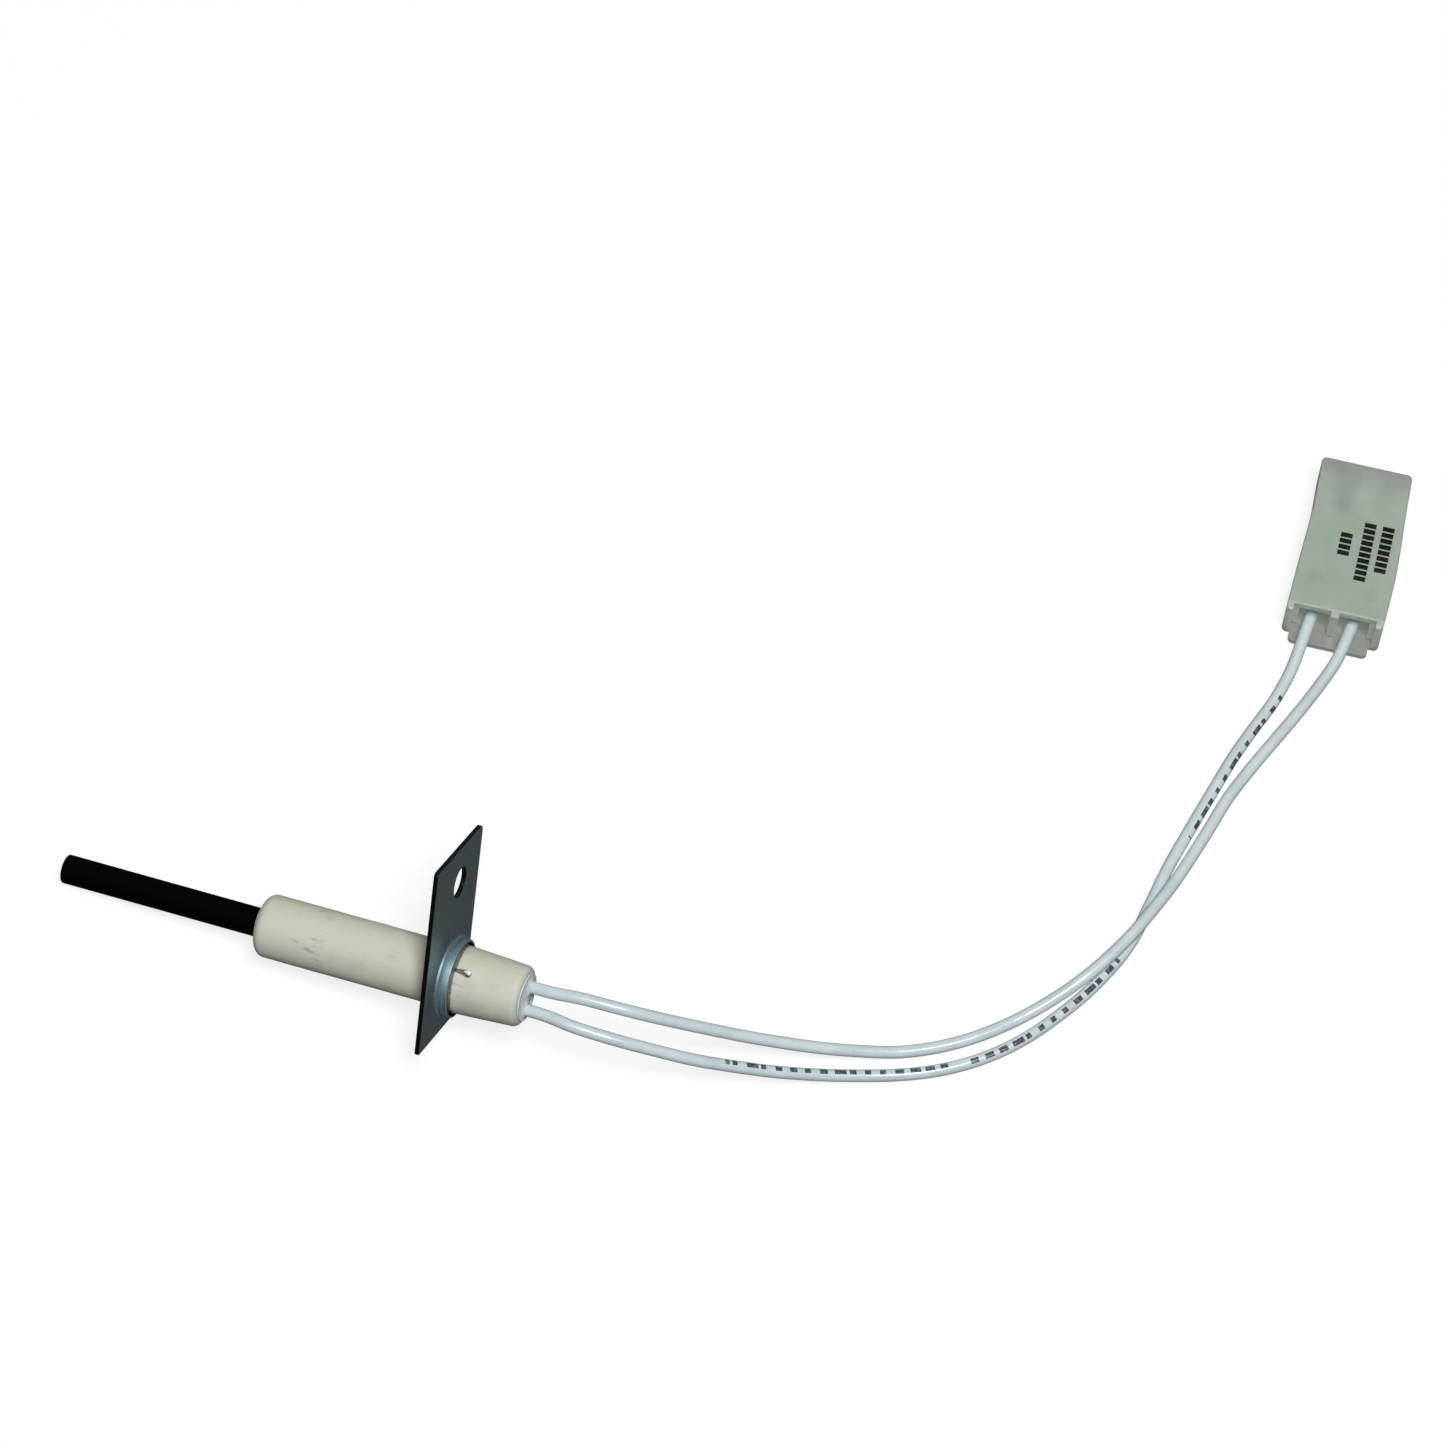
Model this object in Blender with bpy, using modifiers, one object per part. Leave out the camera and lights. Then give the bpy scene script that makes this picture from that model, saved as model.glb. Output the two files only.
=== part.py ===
"""Ignition electrode: a hot-surface igniter in a ceramic holder with a sheet-metal bracket, two leads
and a two-way plug housing.

The igniter lies on a flat surface at z = 0, on the rod's tip and one corner of its bracket, and the two
leads run over the same surface to the plug housing. +Z is up, the igniter's axis lies over the X axis with
its rear end towards +X, and the origin is under the middle of the igniter's own footprint.
"""

import math

import bmesh
import bpy
from mathutils import Matrix, Vector
from mathutils.geometry import interpolate_bezier

MM = 0.001
GAP = 0.3 * MM
MERGE = 0.00001
ROUND_STEPS = 40

# Heater rod and ceramic holder, measured along the axis from the bracket's rear face
ROD_RADIUS = 2.3 * MM
ROD_TIP = -64.3 * MM
ROD_TIP_EDGE = 0.5 * MM
ROD_INNER_END = -14.0 * MM
SLEEVE_FRONT = -31.0 * MM
SLEEVE_REAR = 12.9 * MM
SLEEVE_RADIUS = 5.0 * MM
SLEEVE_FRONT_EDGE = 1.6 * MM
SHOULDER_RADIUS = 5.5 * MM
SHOULDER_START = -1.2 * MM
REAR_RADIUS = 4.85 * MM
REAR_EDGE = 1.1 * MM
BORE_RADIUS = 3.75 * MM
FRONT_BORE_RADIUS = 3.4 * MM
BORE_MOUTH = 0.35 * MM
FRONT_CEMENT_LENGTH = 6.0 * MM
FRONT_CEMENT_RECESS = 0.5 * MM
REAR_CEMENT_LENGTH = 5.0 * MM
REAR_CEMENT_RECESS = 0.7 * MM

# Bracket: a plate across the axis, long towards its screw hole, with a drawn collar on its rear face
SHEET = 0.8 * MM
PLATE_LOW_SIDE = 9.0 * MM
PLATE_HIGH_SIDE = 9.8 * MM
PLATE_TOP = 22.4 * MM
PLATE_BOTTOM = 9.4 * MM
PLATE_CORNER = 0.7 * MM
PLATE_TOP_CORNER = 1.0 * MM
PLATE_TIP_CORNER = 0.25 * MM
SCREW_HOLE_RADIUS = 2.45 * MM
SCREW_HOLE_HEIGHT = 16.0 * MM
SCREW_HOLE_SIDE = -0.8 * MM
COLLAR_INNER = SHOULDER_RADIUS + GAP
COLLAR_OUTER = 6.3 * MM
COLLAR_HEIGHT = 2.1 * MM
COLLAR_FOOT = 0.45 * MM
COLLAR_LIP_EDGE = 0.25 * MM
HOLE_REACH = 5.0 * MM

# Slit in the holder's rear part, with a round pocket at its end for the set bead
SLIT_TURN = math.radians(47.5)
SLIT_START = 2.4 * MM
SLIT_LENGTH = 1.5 * MM
SLIT_HALF_WIDTH = 0.15 * MM
SLIT_DEPTH = 0.75 * MM
POCKET_RADIUS = 0.72 * MM
SET_BEAD_RADIUS = 0.42 * MM

# Leads
LEAD_RADIUS = 0.975 * MM
CONDUCTOR_RADIUS = 0.55 * MM
UPPER_EXIT = Vector((1.4 * MM, -0.95 * MM, 0.0))
LOWER_EXIT = Vector((-1.9 * MM, 0.35 * MM, 0.0))
EXITS = {"upper": UPPER_EXIT, "lower": LOWER_EXIT}
LEAD_START = 3.9 * MM

# Splices between the rod's inner end and the leads
CAP_THICKNESS = 1.5 * MM
CAP_SPLIT = 0.8 * MM
SPLICE_MIDDLE = -6.5 * MM
SPLICE_LENGTH = 6.0 * MM

# Pose of the igniter as it lies: the bracket leans over, and the axis climbs towards the leads
ROLL = math.radians(-37.0)
IGNITER_X = 25.21 * MM
IGNITER_Y = -3.53 * MM

# Plug housing, lying flat: x across, y along, from the mating end towards the leads
PLUG_X = 130.87 * MM
PLUG_Y = 132.35 * MM
PLUG_TURN = math.radians(6.8)
PLUG_HEIGHT = 8.5 * MM
PLUG_FRONT_HALF = 7.35 * MM
PLUG_REAR_HALF = 7.85 * MM
PLUG_LENGTH = 27.9 * MM
PLUG_ROOF_LENGTH = 26.6 * MM
PLUG_WALL = 1.3 * MM
PLUG_SIDE_WALL = 1.2 * MM
PLUG_CORNER = 0.8 * MM
PLUG_BOW = 0.35 * MM
TONGUE_END = 29.6 * MM
TONGUE_LEFT = -6.5 * MM
TONGUE_RIGHT = 6.3 * MM
TONGUE_CORNER = 0.8 * MM
TONGUE_BLANK = 1.6 * MM
TONGUE_LIFT = 0.02 * MM
TONGUE_TOP = 1.2 * MM
PLUG_EDGE = 0.35 * MM
PLUG_FLARE_START = 5.0 * MM
PLUG_FLARE_END = 21.0 * MM
CAVITY_CENTRE = 3.2 * MM
CAVITY_WIDTH = 5.1 * MM

# Crimped contacts in the housing
TERMINAL_FRONT = 5.2 * MM
TERMINAL_BOX_LENGTH = 7.2 * MM
TERMINAL_WIDTH = 4.5 * MM
TERMINAL_HEIGHT = 2.4 * MM
TERMINAL_SHEET = 0.4 * MM
TERMINAL_FLOOR = PLUG_WALL + GAP
STRIP_WIDTH = 1.8 * MM
STRIP_HEIGHT = 0.5 * MM
STRIP_LIFT = 0.05 * MM
BARREL_OUTER = 1.15 * MM
BARREL_INNER = 0.85 * MM
BARREL_START = 13.6 * MM
BARREL_LENGTH = 3.8 * MM
CONDUCTOR_SET_BACK = 0.5 * MM
CLASP_INNER = 1.35 * MM
CLASP_OUTER = 1.65 * MM
CLASP_START = 18.2 * MM
CLASP_END = 20.4 * MM
PLUG_LEAD_END = 17.8 * MM
LEAD_HEIGHT_IN_PLUG = 3.2 * MM

# Routes of the leads, in millimetres, from inside the holder to inside the housing
UPPER_ROUTE = [
    (29.0, -1.9, 13.8), (33.9, -1.9, 14.6), (37.9, -1.9, 15.2), (41.8, -1.9, 15.9), (46.2, -1.4, 16.3),
    (52.5, -0.7, 15.9), (58.6, 0.7, 14.0), (64.6, 2.6, 11.3), (70.5, 4.7, 8.3), (76.4, 6.9, 5.6),
    (82.2, 9.0, 3.6), (87.9, 11.2, 2.2), (93.4, 13.5, 1.3), (98.7, 16.5, 1.0), (103.7, 20.2, 1.0),
    (108.4, 24.8, 1.0), (112.9, 30.1, 1.6), (117.0, 35.9, 2.7), (120.6, 43.1, 3.2), (122.8, 49.4, 3.1),
    (124.7, 56.5, 2.2), (126.5, 65.9, 1.1), (127.7, 72.5, 1.0), (129.5, 78.7, 1.0), (131.3, 84.1, 1.0),
    (133.3, 89.9, 1.1), (135.1, 95.6, 1.5), (136.4, 100.4, 2.3), (136.8, 104.4, 2.9), (136.9, 108.4, 3.2),
    (136.5, 112.4, 3.2), (136.2, 115.0, 3.2),
]
LOWER_ROUTE = [
    (29.3, -5.0, 11.9), (34.2, -5.0, 12.7), (38.2, -5.0, 13.4), (42.1, -5.1, 14.0), (46.6, -5.4, 14.2),
    (52.9, -4.9, 13.5), (59.0, -3.6, 11.5), (65.0, -1.9, 8.9), (71.0, 0.3, 6.3), (77.1, 2.6, 4.1),
    (83.1, 5.0, 2.6), (89.0, 7.5, 1.6), (94.9, 10.1, 1.1), (100.6, 13.2, 1.0), (105.9, 17.2, 1.0),
    (110.7, 22.3, 1.0), (114.9, 28.6, 1.0), (118.4, 35.3, 1.0), (121.1, 43.2, 1.0), (122.0, 50.9, 1.0),
    (122.7, 58.3, 1.0), (124.1, 67.1, 1.0), (125.1, 72.9, 1.0), (126.3, 79.6, 1.0), (127.7, 85.3, 1.0),
    (129.3, 91.1, 1.2), (130.2, 96.9, 1.8), (130.3, 102.4, 2.7), (130.3, 107.5, 3.1), (130.1, 111.6, 3.2),
    (129.8, 114.2, 3.2),
]
LEAD_POINT_SPACING = 4.4 * MM

# name: (colour, roughness, metallic)
FINISHES = {
    "silicon_nitride": ((0.012, 0.012, 0.013), 0.45, 0.0),
    "ceramic": ((0.62, 0.60, 0.50), 0.55, 0.0),
    "cement": ((0.66, 0.68, 0.68), 0.85, 0.0),
    "dark_zinc": ((0.10, 0.13, 0.14), 0.38, 0.9),
    "set_bead": ((0.80, 0.80, 0.72), 0.2, 0.0),
    "nickel": ((0.60, 0.58, 0.54), 0.3, 1.0),
    "copper_tin": ((0.62, 0.60, 0.57), 0.35, 1.0),
    "ptfe": ((0.78, 0.83, 0.84), 0.35, 0.0),
    "natural_nylon": ((0.52, 0.56, 0.50), 0.4, 0.0),
    "tinned_brass": ((0.40, 0.40, 0.38), 0.35, 1.0),
}


def clear_scene():
    for item in list(bpy.data.objects):
        bpy.data.objects.remove(item, do_unlink=True)


def new_collection(name):
    collection = bpy.data.collections.get(name)
    if collection is None:
        collection = bpy.data.collections.new(name)
        bpy.context.scene.collection.children.link(collection)
    return collection


def finish(name):
    material = bpy.data.materials.get(name)
    if material is None:
        colour, roughness, metallic = FINISHES[name]
        material = bpy.data.materials.new(name)
        material.use_nodes = True
        shader = material.node_tree.nodes["Principled BSDF"]
        shader.inputs["Base Color"].default_value = (*colour, 1.0)
        shader.inputs["Roughness"].default_value = roughness
        shader.inputs["Metallic"].default_value = metallic
        material.diffuse_color = (*colour, 1.0)
    return material


def add_empty(name, location=(0, 0, 0), rotation=(0, 0, 0), parent=None):
    empty = bpy.data.objects.new(name, None)
    empty.empty_display_size = 5 * MM
    empty.location = location
    empty.rotation_euler = rotation
    empty.parent = parent
    PARTS.objects.link(empty)
    return empty


def add_object(name, data, parent, material=None, cutter=False):
    item = bpy.data.objects.new(name, data)
    (CUTTERS if cutter else PARTS).objects.link(item)
    item.parent = parent
    if material:
        data.materials.append(finish(material))
    if cutter:
        item.hide_render = True
        item.display_type = "WIRE"
    return item


def smooth(mesh, angle=math.radians(35)):
    mesh.shade_smooth()
    mesh.set_sharp_from_angle(angle=angle)


def bevel(item, width, segments=2, angle=math.radians(40)):
    modifier = item.modifiers.new("Bevel", "BEVEL")
    modifier.width = width
    modifier.segments = segments
    modifier.limit_method = "ANGLE"
    modifier.angle_limit = angle
    return modifier


def boolean(item, other, operation="DIFFERENCE"):
    modifier = item.modifiers.new("Boolean", "BOOLEAN")
    modifier.operation = operation
    modifier.solver = "EXACT"
    modifier.object = other
    return modifier


def arc(centre, radius, start, end, steps=4):
    """Points (r, z) of a round profile edge, from one angle in degrees to another."""
    points = []
    for step in range(steps + 1):
        angle = math.radians(start + (end - start) * step / steps)
        points.append((centre[0] + radius * math.cos(angle), centre[1] + radius * math.sin(angle)))
    return points


def turned(name, profile, parent, material=None, closed=True, cutter=False, steps=ROUND_STEPS):
    """A solid of revolution about Z. A ring's profile is a closed loop; a plug's starts and ends at r = 0.
    The outer side runs from the top to the bottom."""
    mesh = bpy.data.meshes.new(name)
    edges = [(i, i + 1) for i in range(len(profile) - 1)]
    if closed:
        edges.append((len(profile) - 1, 0))
    mesh.from_pydata([(r, 0.0, z) for r, z in profile], edges, [])
    item = add_object(name, mesh, parent, material, cutter)
    screw = item.modifiers.new("Screw", "SCREW")
    screw.axis = "Z"
    screw.steps = steps
    screw.render_steps = steps
    screw.use_merge_vertices = True
    screw.merge_threshold = MERGE
    screw.use_smooth_shade = True
    return item


def box(name, size, centre, parent, material=None, cutter=False):
    mesh = bpy.data.meshes.new(name)
    bm = bmesh.new()
    bmesh.ops.create_cube(bm, size=1.0)
    bmesh.ops.scale(bm, vec=size, verts=bm.verts)
    bmesh.ops.translate(bm, vec=centre, verts=bm.verts)
    bm.to_mesh(mesh)
    bm.free()
    return add_object(name, mesh, parent, material, cutter)


def cylinder(name, radius, start, end, parent, material=None, at=(0, 0), cutter=False, segments=24, axis="Z"):
    mesh = bpy.data.meshes.new(name)
    bm = bmesh.new()
    bmesh.ops.create_cone(bm, cap_ends=True, segments=segments, radius1=radius, radius2=radius,
                          depth=end - start)
    bmesh.ops.translate(bm, vec=(at[0], at[1], (start + end) / 2), verts=bm.verts)
    if axis == "Y":
        bmesh.ops.rotate(bm, verts=bm.verts, cent=(0, 0, 0), matrix=Matrix.Rotation(-math.pi / 2, 3, "X"))
    bm.to_mesh(mesh)
    bm.free()
    smooth(mesh)
    return add_object(name, mesh, parent, material, cutter)


def outline(name, points, thickness, parent, material=None, cutter=False):
    """A flat outline in XY, extruded evenly to both sides of its plane and made a closed mesh."""
    curve = bpy.data.curves.new(name, "CURVE")
    curve.dimensions = "2D"
    curve.fill_mode = "BOTH"
    curve.extrude = thickness / 2
    spline = curve.splines.new("POLY")
    spline.points.add(len(points) - 1)
    for point, (x, y) in zip(spline.points, points):
        point.co = (x, y, 0.0, 1.0)
    spline.use_cyclic_u = True
    guide = bpy.data.objects.new(name + "_outline", curve)
    PARTS.objects.link(guide)
    bpy.context.view_layer.update()
    mesh = bpy.data.meshes.new_from_object(guide.evaluated_get(bpy.context.evaluated_depsgraph_get()))
    mesh.name = name
    bpy.data.objects.remove(guide, do_unlink=True)
    weld(mesh)
    return add_object(name, mesh, parent, material, cutter)


def weld(mesh):
    bm = bmesh.new()
    bm.from_mesh(mesh)
    bmesh.ops.remove_doubles(bm, verts=bm.verts, dist=MERGE)
    bmesh.ops.recalc_face_normals(bm, faces=bm.faces)
    bm.to_mesh(mesh)
    bm.free()


def rounded_corners(corners, steps=4):
    """An outline whose corners are cut by arcs. Each corner is (x, y, radius), listed anticlockwise."""
    points = []
    count = len(corners)
    for index, (x, y, radius) in enumerate(corners):
        here = Vector((x, y))
        back = (Vector(corners[index - 1][:2]) - here).normalized()
        on = (Vector(corners[(index + 1) % count][:2]) - here).normalized()
        reach = radius / math.tan(back.angle(on) / 2)
        handle = reach * 0.55
        start = here + back * reach
        end = here + on * reach
        for point in interpolate_bezier(start, start - back * handle, end - on * handle, end, steps + 1):
            points.append((point.x, point.y))
    return points


def smooth_route(route, spacing):
    """Evenly spaced points, in metres, on a Catmull-Rom curve through a route given in millimetres."""
    knots = [Vector(point) * MM for point in route]
    knots = [knots[0] * 2 - knots[1]] + knots + [knots[-1] * 2 - knots[-2]]
    fine = []
    for a, b, c, d in zip(knots, knots[1:], knots[2:], knots[3:]):
        for step in range(12):
            t = step / 12
            fine.append(0.5 * (2 * b + (c - a) * t + (2 * a - 5 * b + 4 * c - d) * t ** 2
                               + (3 * b - 3 * c + d - a) * t ** 3))
    fine.append(knots[-2])
    lengths = [0.0]
    for a, b in zip(fine, fine[1:]):
        lengths.append(lengths[-1] + (b - a).length)
    count = round(lengths[-1] / spacing)
    points = []
    index = 0
    for step in range(count + 1):
        target = lengths[-1] * step / count
        while index < len(fine) - 2 and lengths[index + 1] < target:
            index += 1
        share = (target - lengths[index]) / (lengths[index + 1] - lengths[index])
        points.append(fine[index].lerp(fine[index + 1], share))
    return points


def wire(name, points, radius, material, parent=None):
    curve = bpy.data.curves.new(name, "CURVE")
    curve.dimensions = "3D"
    curve.bevel_depth = radius
    curve.bevel_resolution = 2
    curve.use_fill_caps = True
    spline = curve.splines.new("POLY")
    spline.points.add(len(points) - 1)
    for point, place in zip(spline.points, points):
        point.co = (*place, 1.0)
    return add_object(name, curve, parent, material)


def resting_pitch():
    """The climb of the axis when the rod's tip and the bracket's low corner touch the surface together."""
    corner_depth = (PLATE_BOTTOM - PLATE_CORNER) * math.cos(ROLL) + PLATE_CORNER
    corner_depth -= (PLATE_LOW_SIDE - PLATE_CORNER) * math.sin(ROLL)
    return math.atan2(corner_depth - ROD_RADIUS, -ROD_TIP - SHEET)


def make_rod(axis):
    edge = arc((ROD_RADIUS - ROD_TIP_EDGE, ROD_TIP + ROD_TIP_EDGE), ROD_TIP_EDGE, 0, -90)
    profile = [(0.0, ROD_INNER_END), (ROD_RADIUS, ROD_INNER_END)] + edge + [(0.0, ROD_TIP)]
    turned("heater_rod", profile, axis, "silicon_nitride", closed=False)


def make_sleeve(axis):
    edge_centre = (SLEEVE_RADIUS - SLEEVE_FRONT_EDGE, SLEEVE_FRONT + SLEEVE_FRONT_EDGE)
    front = arc(edge_centre, SLEEVE_FRONT_EDGE, 0, -90)
    rear = arc((REAR_RADIUS - REAR_EDGE, SLEEVE_REAR - REAR_EDGE), REAR_EDGE, 85, 5)
    profile = [(BORE_RADIUS, SLEEVE_REAR - BORE_MOUTH)]
    profile += rear
    profile += [(SHOULDER_RADIUS, COLLAR_HEIGHT), (SHOULDER_RADIUS, SHOULDER_START)]
    profile += [(SLEEVE_RADIUS, SHOULDER_START)]
    profile += front
    profile += [(FRONT_BORE_RADIUS + BORE_MOUTH, SLEEVE_FRONT)]
    profile += [(FRONT_BORE_RADIUS, SLEEVE_FRONT + BORE_MOUTH)]
    profile += [(FRONT_BORE_RADIUS, ROD_INNER_END), (BORE_RADIUS, ROD_INNER_END)]
    sleeve = turned("ceramic_holder", profile, axis, "ceramic")
    boolean(sleeve, slit_cutter(axis))


def slit_frame():
    """X along the igniter's axis, Y round the holder and Z into it, from the slit's narrow end."""
    upright = Matrix(((0, 0, -1, 0), (0, 1, 0, 0), (1, 0, 0, 0), (0, 0, 0, 1)))
    place = Matrix.Translation((SHOULDER_RADIUS, 0.0, SLIT_START))
    return Matrix.Rotation(SLIT_TURN, 4, "Z") @ place @ upright


def slit_cutter(axis):
    """A narrow slit that starts at the collar and opens into a round pocket, sunk into the holder's side."""
    entry = 180 - math.degrees(math.asin(SLIT_HALF_WIDTH / POCKET_RADIUS))
    pocket = arc((SLIT_LENGTH + POCKET_RADIUS, 0.0), POCKET_RADIUS, -entry, entry, steps=16)
    points = [(0.0, -SLIT_HALF_WIDTH)] + pocket + [(0.0, SLIT_HALF_WIDTH)]
    cutter = outline("slit_cutter", points, 2 * SLIT_DEPTH, axis, cutter=True)
    cutter.matrix_basis = slit_frame()
    return cutter


def make_set_bead(axis):
    mesh = bpy.data.meshes.new("locking_dab")
    bm = bmesh.new()
    bmesh.ops.create_uvsphere(bm, u_segments=16, v_segments=10, radius=SET_BEAD_RADIUS)
    bm.to_mesh(mesh)
    bm.free()
    mesh.shade_smooth()
    bead = add_object("locking_dab", mesh, axis, "set_bead")
    depth = SLIT_DEPTH - SET_BEAD_RADIUS - GAP
    bead.matrix_basis = slit_frame() @ Matrix.Translation((SLIT_LENGTH + POCKET_RADIUS, 0.0, depth))


def make_cements(axis):
    front_end = SLEEVE_FRONT + FRONT_CEMENT_RECESS
    front_top = front_end + FRONT_CEMENT_LENGTH
    inner = ROD_RADIUS + GAP
    outer = FRONT_BORE_RADIUS - GAP
    turned("front_cement", [(inner, front_top), (outer, front_top), (outer, front_end), (inner, front_end)],
           axis, "cement")
    rear_top = SLEEVE_REAR - REAR_CEMENT_RECESS
    rear_end = rear_top - REAR_CEMENT_LENGTH
    radius = BORE_RADIUS - GAP
    plug = turned("rear_cement", [(0.0, rear_top), (radius, rear_top), (radius, rear_end), (0.0, rear_end)],
                  axis, "cement", closed=False)
    for name, exit_point in EXITS.items():
        hole = cylinder("cement_hole_" + name, LEAD_RADIUS + GAP, rear_end - MM, rear_top + MM, axis,
                        at=exit_point, cutter=True)
        boolean(plug, hole)


def make_bracket(axis):
    """The plate and its drawn collar, as one piece with a bore and a screw hole."""
    corners = [
        (-PLATE_BOTTOM, -PLATE_LOW_SIDE, PLATE_CORNER),
        (PLATE_TOP, -PLATE_LOW_SIDE, PLATE_TOP_CORNER),
        (PLATE_TOP, PLATE_HIGH_SIDE, PLATE_CORNER),
        (-PLATE_BOTTOM, PLATE_HIGH_SIDE, PLATE_TIP_CORNER),
    ]
    plate = outline("mounting_bracket", rounded_corners(corners), SHEET, axis, "dark_zinc")
    plate.location = (0.0, 0.0, -SHEET / 2)
    smooth(plate.data)
    foot = arc((COLLAR_OUTER + COLLAR_FOOT, COLLAR_FOOT), COLLAR_FOOT, 180, 270)
    lip = arc((COLLAR_OUTER - COLLAR_LIP_EDGE, COLLAR_HEIGHT - COLLAR_LIP_EDGE), COLLAR_LIP_EDGE, 90, 0)
    sunk = -SHEET / 2
    inside = COLLAR_INNER - 2 * GAP
    profile = [(inside, COLLAR_HEIGHT)] + lip + foot + [(COLLAR_OUTER + COLLAR_FOOT, sunk), (inside, sunk)]
    collar = turned("collar", profile, axis, cutter=True)
    boolean(plate, collar, "UNION")
    bore = cylinder("collar_bore", COLLAR_INNER, -HOLE_REACH, HOLE_REACH, axis, cutter=True,
                    segments=ROUND_STEPS)
    boolean(plate, bore)
    screw_at = (SCREW_HOLE_HEIGHT, SCREW_HOLE_SIDE)
    screw_hole = cylinder("screw_hole", SCREW_HOLE_RADIUS, -HOLE_REACH, HOLE_REACH, axis, at=screw_at,
                          cutter=True)
    boolean(plate, screw_hole)


def make_splices(axis):
    """Each half of the rod's inner end has a metal cap whose pin meets the lead's conductor in a sleeve."""
    across = math.atan2(UPPER_EXIT.y - LOWER_EXIT.y, UPPER_EXIT.x - LOWER_EXIT.x)
    for name, exit_point in EXITS.items():
        turn = across if name == "upper" else across + math.pi
        half_gap = math.degrees(math.asin(CAP_SPLIT / 2 / ROD_RADIUS))
        points = arc((0.0, 0.0), ROD_RADIUS, half_gap - 90, 90 - half_gap, steps=14)
        cap = outline("electrode_cap_" + name, points, CAP_THICKNESS, axis, "nickel")
        middle = ROD_INNER_END + GAP + CAP_THICKNESS / 2
        cap.location = (0.0, 0.0, middle)
        cap.rotation_euler = (0.0, 0.0, turn)
        pin = cylinder("cap_pin_" + name, CONDUCTOR_RADIUS, middle, SPLICE_MIDDLE - GAP / 2, axis,
                       at=exit_point, cutter=True, segments=16)
        boolean(cap, pin, "UNION")
        low = SPLICE_MIDDLE - SPLICE_LENGTH / 2
        high = SPLICE_MIDDLE + SPLICE_LENGTH / 2
        ring = [(BARREL_INNER, high), (BARREL_OUTER, high), (BARREL_OUTER, low), (BARREL_INNER, low)]
        sleeve = turned("splice_sleeve_" + name, ring, axis, "nickel", steps=20)
        sleeve.location = (exit_point.x, exit_point.y, 0.0)
        cylinder("conductor_" + name + "_inner", CONDUCTOR_RADIUS, SPLICE_MIDDLE + GAP / 2,
                 LEAD_START - GAP, axis, "copper_tin", at=exit_point, segments=16)


def make_leads():
    for name, route in (("lead_upper", UPPER_ROUTE), ("lead_lower", LOWER_ROUTE)):
        wire(name, smooth_route(route, LEAD_POINT_SPACING), LEAD_RADIUS, "ptfe")


def plug_side(sign):
    """One side of the housing's outline, from the mating end to the wire end: it widens in a soft S and
    bows a little to the right."""
    points = []
    steps = 12
    for step in range(steps + 1):
        y = -PLUG_LENGTH * step / steps
        flare = min(1.0, max(0.0, (-y - PLUG_FLARE_START) / (PLUG_FLARE_END - PLUG_FLARE_START)))
        ease = flare * flare * (3 - 2 * flare)
        half = PLUG_FRONT_HALF + (PLUG_REAR_HALF - PLUG_FRONT_HALF) * ease
        corner = PLUG_CORNER if step in (0, steps) else 0.0
        points.append((sign * half + PLUG_BOW * math.sin(math.pi * step / steps), y, corner))
    return points


def make_housing(plug):
    corners = plug_side(1)[::-1] + plug_side(-1)
    housing = outline("connector_housing", rounded_corners(corners, steps=3), PLUG_HEIGHT, plug,
                      "natural_nylon")
    housing.location = (0.0, 0.0, PLUG_HEIGHT / 2)
    bevel(housing, PLUG_EDGE)
    tongue_corners = [
        (TONGUE_LEFT, -TONGUE_END, TONGUE_CORNER), (TONGUE_RIGHT, -TONGUE_END, TONGUE_CORNER),
        (TONGUE_RIGHT, -PLUG_ROOF_LENGTH, 0.0), (TONGUE_LEFT, -PLUG_ROOF_LENGTH, 0.0),
    ]
    tongue = outline("tongue", rounded_corners(tongue_corners, steps=3), TONGUE_BLANK, plug, cutter=True)
    tongue.location = (0.0, 0.0, TONGUE_BLANK / 2 + TONGUE_LIFT)
    boolean(housing, tongue, "UNION")
    room = PLUG_HEIGHT - 2 * PLUG_WALL
    for side_sign, name in ((-1, "left"), (1, "right")):
        middle = (side_sign * CAVITY_CENTRE, -TONGUE_END, PLUG_WALL + room / 2)
        cavity = box("cavity_" + name, (CAVITY_WIDTH, 4 * TONGUE_END, room), middle, plug, cutter=True)
        boolean(housing, cavity)
    mouth_reach = 6 * MM
    mouth = box("mouth", (2 * (PLUG_REAR_HALF - PLUG_SIDE_WALL), mouth_reach, PLUG_HEIGHT),
                (0.0, -PLUG_ROOF_LENGTH - mouth_reach / 2, TONGUE_TOP + PLUG_HEIGHT / 2), plug, cutter=True)
    boolean(housing, mouth)


def ribbon(path, thickness):
    """The outline of a bent strip of even thickness whose middle follows a path."""
    left = []
    right = []
    for index, point in enumerate(path):
        here = Vector(point)
        before = (here - Vector(path[index - 1])).normalized() if index else None
        after = (Vector(path[index + 1]) - here).normalized() if index < len(path) - 1 else None
        along = ((before or after) + (after or before)).normalized()
        normal = Vector((-along.y, along.x))
        reach = thickness / 2 / max(0.5, normal.dot(Vector((-(after or before).y, (after or before).x))))
        left.append(tuple(here + normal * reach))
        right.append(tuple(here - normal * reach))
    return right + left[::-1]


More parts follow.
